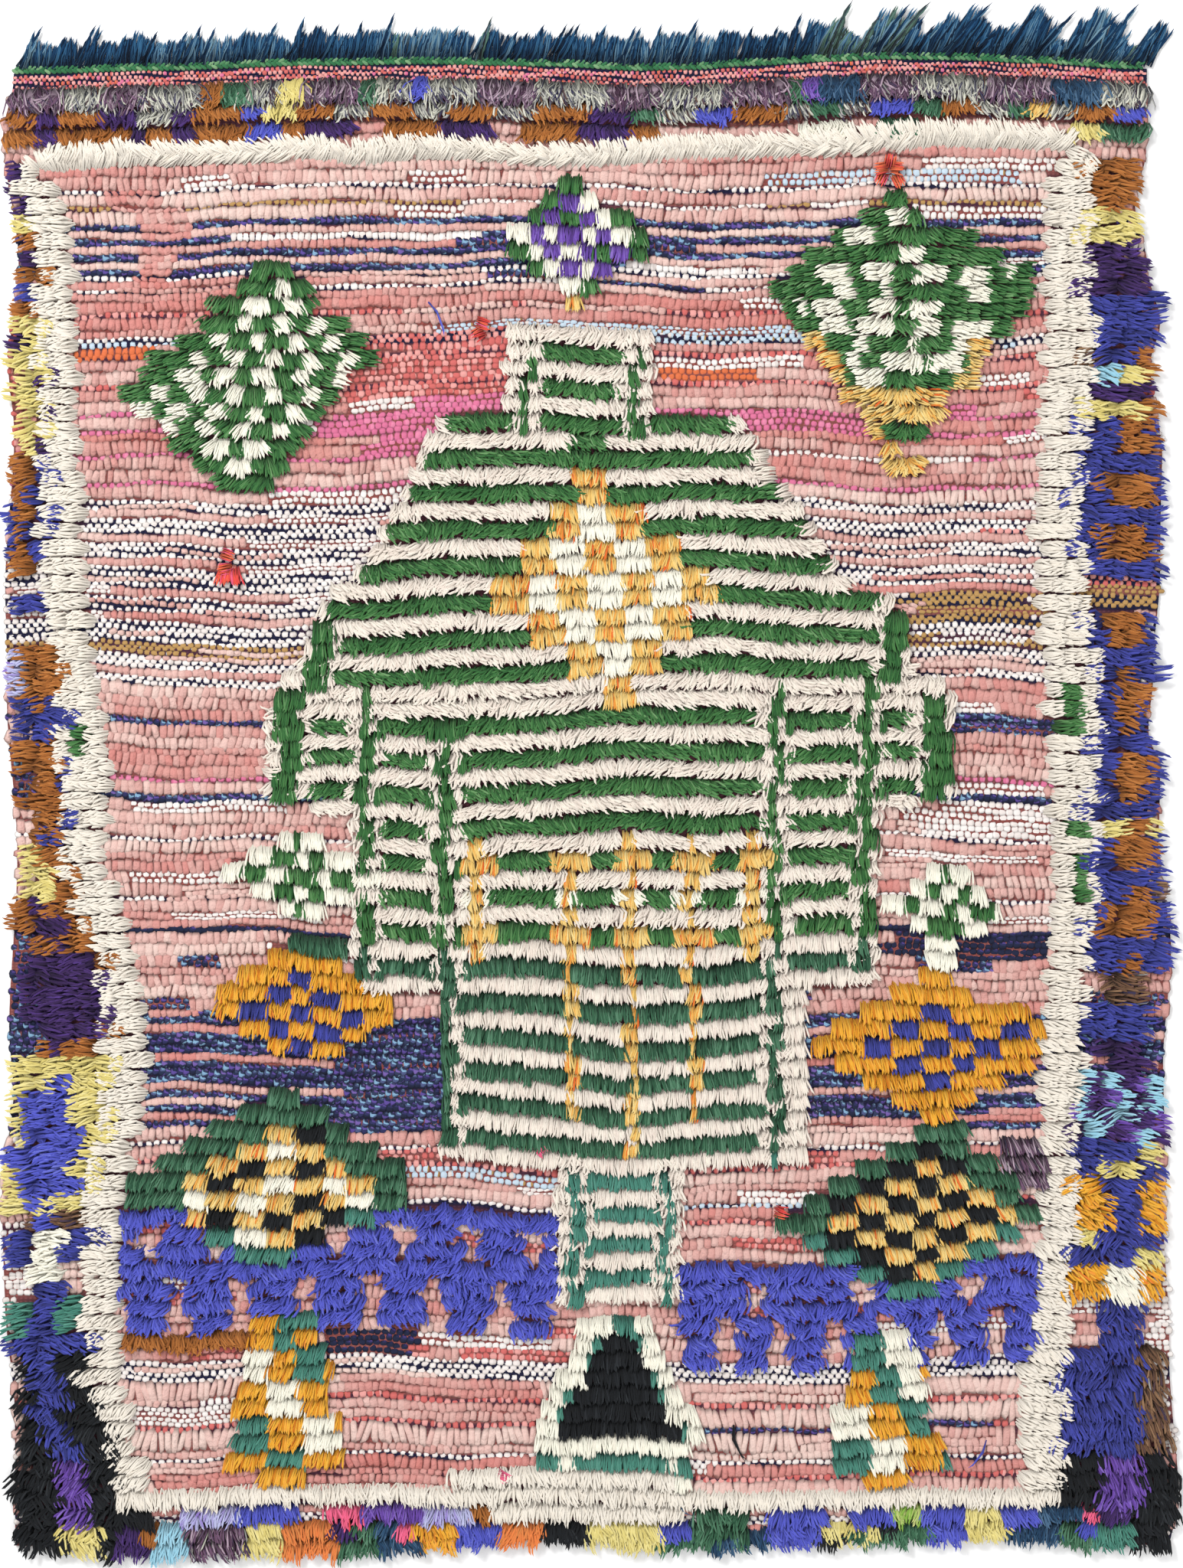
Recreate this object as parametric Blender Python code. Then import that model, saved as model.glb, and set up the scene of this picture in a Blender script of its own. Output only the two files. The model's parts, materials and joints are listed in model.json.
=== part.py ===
"""Azilal rug laid flat: a lumpy slab of pile on cloth, and the warp fringe at its top end.

Units are metres, and the tables are in millimetres. +X points to the right, +Y towards the
fringed end and +Z up. The origin lies on the floor under the middle of the whole rug, fringe
included. The underside is one flat face at z = 0.
"""
import random
from collections import namedtuple

import bmesh
import bpy
from mathutils import Vector, noise

MM = 0.001

# Body of the rug
BODY_WIDTH = 1440 * MM
BODY_LOWEST = -950 * MM      # nominal place of the bottom edge
BODY_HIGHEST = 889 * MM      # the top edge at x = 0
TOP_SLOPE = 0.012            # the top edge climbs this much to the right
CELLS_ACROSS = 48
CELLS_ALONG = 62

# Heights above the floor
CLOTH_TOP = 6 * MM
PILE_TOP = 16 * MM
LUMP_HEIGHT = 5 * MM
CLOTH_LUMP_SHARE = 0.25      # bare cloth is this much as lumpy as the pile
LUMP_SIZE = Vector((46 * MM, 30 * MM, 1))
PLAIN_END = 862 * MM         # above this line the end of the cloth has no pile
MOTIF_EDGE = 12 * MM         # width over which the pile falls to the cloth at a motif's edge

# Locks at the rim
RIM_SEED = 7
RIM_SHARE = 0.78             # share of the side faces that carry a lock
RIM_REACH = (8 * MM, 18 * MM)
RIM_TIP_WIDTH = 0.38
RIM_TIP_HEIGHT = 0.45
RIM_LEAN = 3 * MM
STEEP = 0.1                  # a face whose normal climbs less than this is a side face
FACES_TOP_END = 0.7          # a side face whose normal points this much along +Y is at the top end

# Fringe
FRINGE_SEED = 11
ROOT_GAP = 0.3 * MM          # between the rug's edge and the strip that holds the fringe
STRIP_WIDTH = 11 * MM
STRIP_TOP = 7 * MM
LOCKS = 112
SPLIT_SHARE = 0.26           # share of each lock's pitch that is the split beside it
LOCK_MIDDLE = (0.55, 0.66, 0.8)   # place along the lock, and its width and height there
LOCK_TIP = (1.0, 0.16, 0.35)
LOCK_LEANS = (0.6, 1.2)      # how unevenly the locks lean
CLUMP = 5                    # locks in a clump

Edge = namedtuple("Edge", "at edge")
Lozenge = namedtuple("Lozenge", "x y half_width half_length")
Block = namedtuple("Block", "left right low high")
Tier = namedtuple("Tier", "y left right")
Zone = namedtuple("Zone", "until shortest longest lean clump")

# Side and bottom outlines: place along the edge, then how far out it runs
LEFT_OUTLINE = (
    Edge(-955, -715), Edge(-785, -718), Edge(-642, -727), Edge(-490, -729), Edge(-386, -718),
    Edge(-300, -725), Edge(-80, -711), Edge(118, -725), Edge(251, -730), Edge(441, -715),
    Edge(517, -721), Edge(640, -711), Edge(810, -731), Edge(885, -717),
)
RIGHT_OUTLINE = (
    Edge(-955, 719), Edge(-889, 732), Edge(-690, 721), Edge(-547, 711), Edge(-357, 713),
    Edge(-205, 724), Edge(-72, 705), Edge(20, 706), Edge(70, 692), Edge(146, 700),
    Edge(270, 711), Edge(403, 711), Edge(517, 694), Edge(564, 706), Edge(631, 692),
    Edge(716, 678), Edge(783, 692), Edge(900, 692),
)
BOTTOM_OUTLINE = (
    Edge(-715, -948), Edge(-504, -959), Edge(-400, -954), Edge(-333, -959), Edge(-257, -951),
    Edge(-39, -939), Edge(103, -948), Edge(246, -941), Edge(531, -932), Edge(654, -948),
    Edge(720, -946),
)

# The open field inside the pile frame: where the frame's inner edge runs
FIELD_LEFT = (
    Edge(-861, -552), Edge(-690, -580), Edge(-547, -578), Edge(-405, -557), Edge(-262, -557),
    Edge(-130, -595), Edge(23, -592), Edge(240, -626), Edge(720, -640),
)
FIELD_RIGHT = (
    Edge(-832, 541), Edge(-690, 558), Edge(-370, 557), Edge(-240, 572), Edge(-100, 574),
    Edge(146, 560), Edge(308, 552), Edge(590, 563), Edge(720, 563),
)
FIELD_TOP = (Edge(-655, 762), Edge(0, 765), Edge(170, 773), Edge(450, 787), Edge(560, 780))
FIELD_BOTTOM = (Edge(-575, -872), Edge(-140, -856), Edge(0, -848), Edge(104, -872),
                Edge(560, -872))

# Piled figures in the field
LOZENGES = (
    Lozenge(-425, 504, 163, 146),   # upper left
    Lozenge(-17, 670, 97, 77),      # top middle
    Lozenge(390, 560, 158, 160),    # upper right
    Lozenge(-358, -112, 95, 55),    # small, left
    Lozenge(445, -152, 76, 52),     # small, right
    Lozenge(-358, -274, 122, 74),   # mustard, left
    Lozenge(426, -322, 153, 88),    # mustard, right
    Lozenge(-390, -483, 195, 107),  # lower left
    Lozenge(397, -522, 165, 112),   # lower right
)
BLOCKS = (
    Block(-582, -20, -685, -538),   # comb band, left
    Block(110, 560, -713, -585),    # comb band, right
    Block(-457, -300, -861, -656),  # tower, left
    Block(289, 436, -861, -690),    # tower, right
    Block(-60, 110, -860, -740),    # foot of the medallion
    Block(-10, 70, -740, -666),
)
MEDALLION = (
    Tier(-633, -34, 113), Tier(-466, -34, 113), Tier(-457, -181, 260), Tier(-257, -181, 260),
    Tier(-248, -286, 355), Tier(-39, -286, 355), Tier(-20, -395, 446), Tier(113, -395, 446),
    Tier(146, -381, 393), Tier(222, -348, 393), Tier(251, -324, 322), Tier(294, -281, 284),
    Tier(346, -238, 256), Tier(403, -224, 218), Tier(455, -181, 184), Tier(464, -110, 94),
    Tier(550, -110, 94),
)

# Fringe from left to right: each zone ends at x = until
FRINGE = (
    Zone(-330, 34, 50, 9, 0.0),
    Zone(285, 36, 53, 11, 0.15),
    Zone(700, 40, 70, 17, 0.8),
)

WOOL = (0.72, 0.55, 0.48, 1)
NAVY = (0.02, 0.055, 0.13, 1)


def clear_scene():
    for thing in list(bpy.data.objects):
        bpy.data.objects.remove(thing, do_unlink=True)


def cloth_material(name, colour, roughness):
    material = bpy.data.materials.new(name)
    material.use_nodes = True
    shader = material.node_tree.nodes["Principled BSDF"]
    shader.inputs["Base Color"].default_value = colour
    shader.inputs["Roughness"].default_value = roughness
    shader.inputs["Metallic"].default_value = 0.0
    material.diffuse_color = colour
    return material


def add_object(name, form, material, collection):
    """Turns a bmesh into a named object with its own mesh and material."""
    mesh = bpy.data.meshes.new(name)
    form.to_mesh(mesh)
    form.free()
    mesh.materials.append(material)
    thing = bpy.data.objects.new(name, mesh)
    collection.objects.link(thing)
    return thing


def read_outline(table, at):
    """How far out an edge runs at a place, eased from one row of its table to the next."""
    at = at / MM
    if at <= table[0].at:
        return table[0].edge * MM
    for low, high in zip(table, table[1:]):
        if at <= high.at:
            share = (at - low.at) / (high.at - low.at)
            ease = share * share * (3 - 2 * share)
            return (low.edge + (high.edge - low.edge) * ease) * MM
    return table[-1].edge * MM


def top_edge(x):
    return BODY_HIGHEST + TOP_SLOPE * x


def medallion_depth(x, y):
    """How far inside the stepped medallion a point lies, negative outside."""
    for low, high in zip(MEDALLION, MEDALLION[1:]):
        if low.y * MM <= y <= high.y * MM:
            share = (y / MM - low.y) / (high.y - low.y)
            left = (low.left + (high.left - low.left) * share) * MM
            right = (low.right + (high.right - low.right) * share) * MM
            return min(x - left, right - x)
    return -1.0


def lozenge_depth(lozenge, x, y):
    across = abs(x / MM - lozenge.x) / lozenge.half_width
    along = abs(y / MM - lozenge.y) / lozenge.half_length
    return (1 - across - along) * min(lozenge.half_width, lozenge.half_length) * MM


def block_depth(block, x, y):
    return min(x - block.left * MM, block.right * MM - x, y - block.low * MM, block.high * MM - y)


def frame_depth(x, y):
    """How far outside the open field a point lies: the frame and the borders are all pile."""
    return max(
        read_outline(FIELD_LEFT, y) - x,
        x - read_outline(FIELD_RIGHT, y),
        y - read_outline(FIELD_TOP, x),
        read_outline(FIELD_BOTTOM, x) - y,
    )


def pile_cover(x, y):
    """1 where there is pile, 0 on bare cloth, with a short slope between."""
    if y > PLAIN_END + TOP_SLOPE * x:
        return 0.0
    depth = max(frame_depth(x, y), medallion_depth(x, y))
    depth = max([depth] + [lozenge_depth(each, x, y) for each in LOZENGES])
    depth = max([depth] + [block_depth(each, x, y) for each in BLOCKS])
    return min(max(0.5 + depth / MOTIF_EDGE, 0.0), 1.0)


def surface_height(x, y):
    cover = pile_cover(x, y)
    lump = LUMP_HEIGHT * noise.noise(Vector((x / LUMP_SIZE.x, y / LUMP_SIZE.y, 0)))
    lump *= CLOTH_LUMP_SHARE + (1 - CLOTH_LUMP_SHARE) * cover
    return CLOTH_TOP + (PILE_TOP - CLOTH_TOP) * cover + lump


def place_on_rug(across, along):
    """Turns shares of the width and length, 0 to 1, into a point of the uneven outline."""
    nominal_x = (across - 0.5) * BODY_WIDTH
    nominal_y = BODY_LOWEST + along * (BODY_HIGHEST - BODY_LOWEST)
    left = read_outline(LEFT_OUTLINE, nominal_y)
    right = read_outline(RIGHT_OUTLINE, nominal_y)
    x = left + (right - left) * across
    low = read_outline(BOTTOM_OUTLINE, nominal_x)
    return x, low + (top_edge(x) - low) * along


def close_downwards(form):
    """Drops walls from an open sheet's border to the floor and fills the underside."""
    border = [edge for edge in form.edges if edge.is_boundary]
    walls = bmesh.ops.extrude_edge_only(form, edges=border)
    for point in walls["geom"]:
        if isinstance(point, bmesh.types.BMVert):
            point.co.z = 0.0
    foot = [edge for edge in form.edges if edge.is_boundary]
    bmesh.ops.contextual_create(form, geom=foot)
    bmesh.ops.recalc_face_normals(form, faces=form.faces)


def side_faces(form):
    form.normal_update()
    return [face for face in form.faces if abs(face.normal.z) < STEEP]


def stretch_tip(tip, outward, slide, width, height):
    """Moves a lock's end face out and draws it in. Its foot stays on the floor."""
    middle = tip.calc_center_median()
    middle.z = 0.0
    for point in tip.verts:
        offset = point.co - middle
        offset.z *= height
        offset.x *= width
        offset.y *= width
        point.co = middle + offset + outward + slide
        point.co.z = max(point.co.z, 0.0)


def add_rim_locks(form, rng):
    """Draws tapered locks out of the left, right and bottom sides."""
    rim = [face for face in side_faces(form) if face.normal.y < FACES_TOP_END]
    rim.sort(key=lambda face: (round(face.calc_center_median().y, 4), face.calc_center_median().x))
    chosen = [face for face in rim if rng.random() < RIM_SHARE]
    tips = bmesh.ops.extrude_discrete_faces(form, faces=chosen)["faces"]
    for tip in tips:
        tip.normal_update()
        outward = tip.normal.copy()
        outward.z = 0.0
        outward.normalize()
        sideways = Vector((-outward.y, outward.x, 0))
        reach = rng.uniform(*RIM_REACH)
        lean = rng.uniform(-RIM_LEAN, RIM_LEAN)
        stretch_tip(tip, outward * reach, sideways * lean, RIM_TIP_WIDTH, RIM_TIP_HEIGHT)


def make_rug(collection):
    form = bmesh.new()
    bmesh.ops.create_grid(form, x_segments=CELLS_ACROSS, y_segments=CELLS_ALONG, size=0.5)
    for point in form.verts:
        x, y = place_on_rug(point.co.x + 0.5, point.co.y + 0.5)
        point.co = (x, y, surface_height(x, y))
    close_downwards(form)
    add_rim_locks(form, random.Random(RIM_SEED))
    return add_object("rug", form, cloth_material("pile_wool", WOOL, 0.95), collection)


def fringe_zone(x):
    for zone in FRINGE:
        if x <= zone.until * MM:
            return zone
    return FRINGE[-1]


def lock_length(zone, number, rng):
    """Locks of a clumped zone are long in the middle of each clump and short at its sides."""
    even = rng.uniform(zone.shortest, zone.longest)
    group = 1 - abs(number % CLUMP - CLUMP // 2) / (CLUMP // 2)
    clumped = zone.shortest + (zone.longest - zone.shortest) * group
    return (even + (clumped - even) * zone.clump) * MM


def add_fringe_locks(form, rng):
    """Draws a bent, tapered lock out of every second face of the strip's outer side."""
    outer = [face for face in side_faces(form) if face.normal.y > FACES_TOP_END]
    outer.sort(key=lambda face: face.calc_center_median().x)
    for number, root in enumerate(outer[::2]):
        zone = fringe_zone(root.calc_center_median().x)
        length = lock_length(zone, number, rng)
        lean = zone.lean * MM * rng.uniform(*LOCK_LEANS)
        done = 0.0
        width = height = 1.0
        tip = root
        for place, wide, high in (LOCK_MIDDLE, LOCK_TIP):
            tip = bmesh.ops.extrude_discrete_faces(form, faces=[tip])["faces"][0]
            step = place - done
            outward = Vector((0, length * step, 0))
            slide = Vector((lean * (place * place - done * done), 0, 0))
            stretch_tip(tip, outward, slide, wide / width, high / height)
            done, width, height = place, wide, high


def make_fringe(collection):
    """A narrow strip just off the rug's top edge, with the warp ends as tapered locks."""
    form = bmesh.new()
    bmesh.ops.create_grid(form, x_segments=2 * LOCKS, y_segments=1, size=0.5)
    left = read_outline(LEFT_OUTLINE, BODY_HIGHEST)
    right = read_outline(RIGHT_OUTLINE, BODY_HIGHEST)
    pitch = (right - left) / LOCKS
    for point in form.verts:
        station = round((point.co.x + 0.5) * 2 * LOCKS)
        x = left + pitch * (station // 2 + (station % 2) * (1 - SPLIT_SHARE))
        if station == 2 * LOCKS:
            x = right
        inner = top_edge(x) + ROOT_GAP
        y = inner + (STRIP_WIDTH if point.co.y > 0 else 0.0)
        point.co = (x, y, STRIP_TOP)
    close_downwards(form)
    add_fringe_locks(form, random.Random(FRINGE_SEED))
    return add_object("fringe_top", form, cloth_material("warp_cotton", NAVY, 0.9), collection)


def main():
    clear_scene()
    collection = bpy.data.collections.new("azilal_rug")
    bpy.context.scene.collection.children.link(collection)
    make_rug(collection)
    make_fringe(collection)


main()
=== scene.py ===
"""Looks of the azilal rug: woven ground, rag and cotton wefts, knotted pile, and warp fringe.

Lengths are in metres. The rug lies flat, +Y runs towards its fringed end and +Z points up.
Places read off the photo are in its pixels, in columns named px or py, and PX turns them into
metres. The pile and the wefts are laid out as a weaver would: rows of knots, and picks of weft.
"""
import json
import math
import random
from collections import namedtuple

import bmesh
import bpy
import numpy as np
from mathutils import Matrix, Vector

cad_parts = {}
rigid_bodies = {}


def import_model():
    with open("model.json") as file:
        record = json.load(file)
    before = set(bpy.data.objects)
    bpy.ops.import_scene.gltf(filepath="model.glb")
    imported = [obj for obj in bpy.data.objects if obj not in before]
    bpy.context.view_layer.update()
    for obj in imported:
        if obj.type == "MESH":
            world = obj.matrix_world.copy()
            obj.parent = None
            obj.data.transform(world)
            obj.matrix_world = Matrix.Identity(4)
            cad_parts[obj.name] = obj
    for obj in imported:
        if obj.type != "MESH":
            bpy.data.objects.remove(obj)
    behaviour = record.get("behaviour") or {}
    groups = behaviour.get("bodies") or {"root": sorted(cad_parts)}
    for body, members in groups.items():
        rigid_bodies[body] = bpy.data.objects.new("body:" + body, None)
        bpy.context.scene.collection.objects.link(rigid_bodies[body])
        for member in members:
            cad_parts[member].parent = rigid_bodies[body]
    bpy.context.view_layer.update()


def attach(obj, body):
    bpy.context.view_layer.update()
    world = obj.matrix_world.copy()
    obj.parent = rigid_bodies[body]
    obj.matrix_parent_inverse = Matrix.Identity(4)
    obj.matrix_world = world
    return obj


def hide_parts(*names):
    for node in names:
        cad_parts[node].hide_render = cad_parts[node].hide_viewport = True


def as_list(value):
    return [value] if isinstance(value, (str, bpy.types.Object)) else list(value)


MM = 0.001
PX = 0.95 * MM                      # what one pixel of the photo spans on the rug
PHOTO = (1545, 2048)
ORIGIN_PX = (771, 1024)             # the pixel over the origin

# Driving sizes of the weave
ROW_PITCH = 21.375 * MM             # from one row of knots to the next
FIRST_ROW = 871 * MM                # the row of knots nearest the fringe
ROWS = 86
KNOT_PITCH = 9.0 * MM
KNOTS = 163
CLOTH_HIGH = 4.2 * MM               # top of the woven ground
CLOTH_LOW = 2.6 * MM                # the hollows between its picks
GROUND_COLUMNS = 40
ROOT_HIGH = 3.0 * MM                # where a knot comes out of the cloth
KNOT_INSET = 12 * MM                # how far in from the sides the outermost knots sit
END_INSET = 5 * MM                  # the same in the rows at the two ends
BARE_ROWS = (4, 5)                  # between the top border and the frame
BODY_TOP = 889 * MM                 # the fringed end of the cloth at x = 0
TOP_ROW_DROP = (11 * MM, -5 * MM, -4 * MM)   # the first rows crowd together
FIRST_PICK_PY = 90.0
LAST_PICK_PY = 2016
STRIP_END_PY = 119                  # the checked strip above the first row of knots
TUFT_VARIANTS = 6
RAG_BEADS = 5
WARP_LOCKS = 190
LOCK_VARIANTS = 4                   # of the ragged locks, and as many of the pointed
LOCK_LONG = 46 * MM
HEADING_TURNS = 210
WILD_FRINGE = 240 * MM              # to the right of here the fringe is tall and clumped
DARK_LOCKS = (280 * MM, 370 * MM)   # between these many of its locks are black and grey
SEED = 41

CAMERA_HIGH = 5.0
SENSOR = 36.0

Edge = namedtuple("Edge", "at edge")
Band = namedtuple("Band", "py first second")
Tier = namedtuple("Tier", "py left right")
Kite = namedtuple("Kite", "top left right bottom cell rule yarns")
Diamond = namedtuple("Diamond", "px drift first last cell")
Upright = namedtuple("Upright", "px top bottom half")
Comb = namedtuple("Comb", "left right first last pitch skip")
Tower = namedtuple("Tower", "px top bottom narrow wide yarns")
Stripe = namedtuple("Stripe", "until yarns")
Patch = namedtuple("Patch", "left right top bottom pick")
Picks = namedtuple("Picks", "until order guests", defaults=("",))
Pick = namedtuple("Pick", "piece height pitch width rise tone spread under")
Scrap = namedtuple("Scrap", "px py degrees kind yarn")
Tuft = namedtuple("Tuft", "strands spread scatter swing length height curl thick gather")
Station = namedtuple("Station", "along rise width")
Mat = namedtuple("Mat", "along rise shade width")
Yarn = namedtuple("Yarn", "piece tone")
Tone = namedtuple("Tone", "place red green blue")


def read_word(word):
    """A word of a table: a number where it ends in a digit, and otherwise letters."""
    if not word[-1].isdigit():
        return word
    return float(word) if "." in word else int(word)


def rows(kind, text):
    """A table's rows, which are written with a comma between two of them."""
    return [kind(*map(read_word, row.split())) for row in text.split(",")]


def keyed_rows(kind, text):
    """The same, with each row's first word as its key."""
    return {row.split()[0]: kind(*map(read_word, row.split()[1:])) for row in text.split(",")}


# The body's uneven outline, in millimetres: place along an edge, then how far out it runs
LEFT_OUTLINE = rows(Edge, """
    -955 -715, -785 -718, -642 -727, -490 -729, -386 -718, -300 -725, -80 -711, 118 -725, 251 -730,
    441 -715, 517 -721, 640 -711, 810 -731, 885 -717""")
RIGHT_OUTLINE = rows(Edge, """
    -955 719, -889 732, -690 721, -547 711, -357 713, -205 724, -72 705, 20 706, 70 692, 146 700,
    270 711, 403 711, 517 694, 564 706, 631 692, 716 678, 783 692, 900 692""")
BOTTOM_OUTLINE = rows(Edge, """
    -715 -948, -504 -959, -400 -954, -333 -959, -257 -951, -39 -939, 103 -948, 246 -941, 531 -932,
    654 -948, 720 -946""")
TOP_OUTLINE = rows(Edge, """
    -685 881, -542 885, -352 891, -210 893, -48 890, 56 885, 123 886, 199 891, 294 896, 360 899,
    455 898, 550 894, 674 887""")
# The line that the frame's top band is rooted on
FRAME_TOP_FOOT = rows(Edge, """
    -675 758, -542 766, -428 771, -371 775, -286 767, -200 774, 9 765, 127 773, 279 779, 431 787,
    626 785""")

# The cream frame: its two edges at places down each side, and across the ends
FRAME_LEFT = rows(Band, """
    190 35 80, 250 35 80, 300 55 97, 400 59 102, 500 68 105, 700 62 108, 780 69 112, 860 83 122,
    900 90 130, 1000 85 148, 1050 98 150, 1110 90 143, 1200 112 163, 1260 140 180, 1400 140 192,
    1500 135 180, 1600 125 163, 1750 120 160, 1800 110 158, 1850 138 170, 1960 150 190""")
FRAME_RIGHT = rows(Band, """
    180 1364 1430, 250 1364 1415, 450 1360 1415, 600 1355 1405, 700 1352 1403, 860 1360 1425,
    1000 1368 1420, 1160 1375 1425, 1240 1373 1412, 1400 1357 1400, 1600 1358 1400, 1700 1355 1392,
    1800 1342 1390, 1850 1333 1387, 1960 1340 1387""")
FRAME_TOP = rows(Band, "30 209 231, 1432 209 231")
FRAME_BOTTOM = rows(Band, """
    150 1942 1966, 560 1942 1966, 600 1920 1966, 690 1920 1986, 880 1920 1986, 890 1942 1966,
    1390 1942 1966""")
# Stray tufts in the cream frame, and odd ones that lie alone in the field
FRAME_SPOTS = rows(Patch, """
    1373 1405 887 946 E, 1381 1412 1063 1090 E, 1389 1414 1108 1166 E, 101 121 955 998 E""")
ODD_TUFTS = rows(Patch, """
    745 790 570 590 E, 1208 1250 1240 1262 A, 1150 1212 592 615 G, 375 450 1222 1242 D,
    158 330 1745 1768 R, 1305 1372 1496 1552 P, 737 756 378 402 G""")

# Yarns, one letter each: the piece they belong to and where they sit on its range of tones
YARNS = keyed_rows(Yarn, """
    C pile_cream_field 0.35, A pile_cream_field 0.8, F pile_cream_frame 0.5, E pile_green 0.3,
    D pile_green 0.74, T pile_teal 0.5, U pile_gold 0.25, G pile_gold 0.74, B pile_cobalt 0.6,
    W pile_cobalt 0.3, V pile_violet 0.22, I pile_violet 0.52, L pile_violet 0.86, R pile_rust 0.35,
    O pile_rust 0.86, J pile_odd 0.75, M pile_marl 0.88, P pile_marl 0.2, Q pile_marl 0.56,
    S pile_straw 0.35, Y pile_straw 0.86, X pile_black 0.25, N pile_black 0.8, K pile_odd 0.12,
    H pile_odd 0.5, Z pile_odd 0.88""")

# Border blocks. Each stripe runs down to py = until, with a yarn for each third of its width
# from the left. A dot is bare weave, and small letters are the mixtures of mixed_yarn.
LEFT_BORDER = rows(Stripe, """
    205 ..., 268 VVV, 292 SSS, 332 RRR, 353 VVV, 372 RRR, 395 BBB, 408 RRR, 425 SSS, 447 .VS, 600 .Ss,
    720 BRB, 752 .R., 765 ..., 800 .BB, 830 ..., 900 LRR, 975 .bb, 1065 .Rr, 1115 .RB, 1172 SSR,
    1212 RVR, 1388 .RR, 1592 SSS, 1605 .MM, 1638 BAB, 1672 .A., 1702 .B., 1730 TBT, 1762 BBB,
    2048 zzz""")
RIGHT_BORDER = rows(Stripe, """
    213 ..., 265 RRR, 330 SSS, 355 VVV, 370 RRR, 385 VVV, 450 BBB, 470 MBR, 498 KSR, 520 VVV, 540 SSR,
    740 ddd, 786 ..., 950 hhh, 962 ..., 1062 hhh, 1092 SRS, 1150 hhh, 1170 hhM, 1262 hhh, 1300 .M.,
    1365 BB., 1395 .V., 1500 vvv, 1540 qqq, 1608 UBU, 1658 qqq, 1690 UAU, 1760 .B., 1900 BBM,
    1962 XIX, 2048 XXX""")

# End borders, row by row: each yarn runs on to px = until
TOP_MARLS = rows(Stripe, """
    85 P, 140 Q, 190 P, 262 Q, 296 R, 318 D, 372 Q, 400 S, 475 P, 490 D, 540 Q, 562 B, 625 Q, 700 P,
    790 Q, 862 P, 945 Q, 1028 P, 1046 D, 1070 I, 1122 N, 1190 P, 1290 Q, 1376 P, 1440 N, 1545 Q""")
TOP_BLOCKS = rows(Stripe, """
    45 R, 75 V, 130 R, 178 V, 225 Q, 255 V, 318 R, 340 B, 385 S, 435 R, 480 Q, 535 R, 585 Q, 645 R,
    702 Q, 765 R, 820 V, 863 D, 905 Q, 960 B, 1025 R, 1060 Q, 1100 D, 1135 Q, 1195 B, 1235 D, 1280 R,
    1320 Q, 1345 D, 1375 G, 1405 Q, 1455 R, 1545 B""")
TOP_LAST = rows(Stripe, """
    45 R, 75 V, 165 R, 185 V, 225 R, 255 V, 318 R, 368 B, 400 R, 462 V, 500 ., 575 R, 640 V, 682 .,
    755 R, 822 V, 860 R, 1053 ., 1110 A, 1145 ., 1200 D, 1400 ., 1440 S, 1545 D""")
BOTTOM_FIRST = rows(Stripe, """
    195 X, 235 ., 310 L, 385 B, 425 ., 470 H, 545 I, 613 L, 678 R, 720 X, 770 V, 805 X, 830 B, 850 Y,
    905 ., 970 D, 1005 ., 1075 B, 1108 ., 1162 B, 1202 Y, 1258 B, 1310 S, 1352 B, 1415 N, 1440 H,
    1480 V, 1545 X""")
BOTTOM_SECOND = rows(Stripe, """
    80 X, 135 S, 185 V, 212 R, 246 K, 320 P, 372 S, 432 O, 462 V, 495 D, 520 N, 540 H, 600 U, 652 B,
    714 O, 770 X, 865 S, 900 B, 975 D, 1005 ., 1065 B, 1145 S, 1170 X, 1215 D, 1258 B, 1312 S, 1385 N,
    1410 D, 1432 B, 1480 T, 1545 X""")
BOTTOM_LAST = rows(Stripe, """
    85 X, 135 S, 200 V, 245 K, 320 P, 372 S, 440 O, 495 D, 545 N, 600 U, 652 B, 714 O, 770 X, 865 S,
    930 D, 1005 N, 1065 B, 1110 X, 1215 D, 1255 B, 1312 S, 1385 N, 1432 D, 1480 T, 1545 X""")
END_ROWS = (                        # each row's table, down to py = until
    Stripe(140, TOP_MARLS), Stripe(160, TOP_BLOCKS), Stripe(260, TOP_LAST),
    Stripe(1988, BOTTOM_FIRST), Stripe(2010, BOTTOM_SECOND), Stripe(2048, BOTTOM_LAST),
)

# Lozenges of the field and the left border: four corners, the width of a cell, and a rule
# for how the yarns fill it
KITES = (
    Kite((352, 336), (156, 520), (488, 458), (328, 650), 24, "loose", "EEA"),
    Kite((737, 232), (650, 318), (852, 318), (746, 398), 22, "mixed", "EIAEA"),
    Kite((1167, 262), (1020, 368), (1340, 358), (1172, 592), 26, "zigzags", "EEA"),
    Kite((394, 1082), (298, 1142), (488, 1142), (394, 1202), 19, "rings", "AEAEA"),
    Kite((1239, 1128), (1154, 1188), (1308, 1188), (1239, 1242), 19, "rings", "AEAEA"),
    Kite((394, 1238), (272, 1316), (522, 1316), (394, 1388), 32, "checks", "UWU"),
    Kite((1219, 1266), (1068, 1362), (1380, 1355), (1219, 1458), 36, "checks", "UWU"),
    Kite((380, 1420), (158, 1562), (562, 1562), (353, 1648), 36, "mixed", "DGXAA"),
    Kite((1218, 1455), (1020, 1592), (1360, 1592), (1193, 1695), 35, "checks", "DXG"),
    Kite((297, 716), (278, 733), (316, 733), (297, 752), 20, "plain", "J"),
)
BORDER_KITES = (
    Kite((88, 1212), (36, 1300), (142, 1300), (88, 1388), 20, "plain", "V"),
    Kite((70, 1390), (30, 1495), (108, 1495), (70, 1606), 20, "plain", "B"),
)
GOLD_DIAMOND = Diamond(771, 2.9, 23, 35, 41)    # drift is how far right it moves with each row
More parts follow.
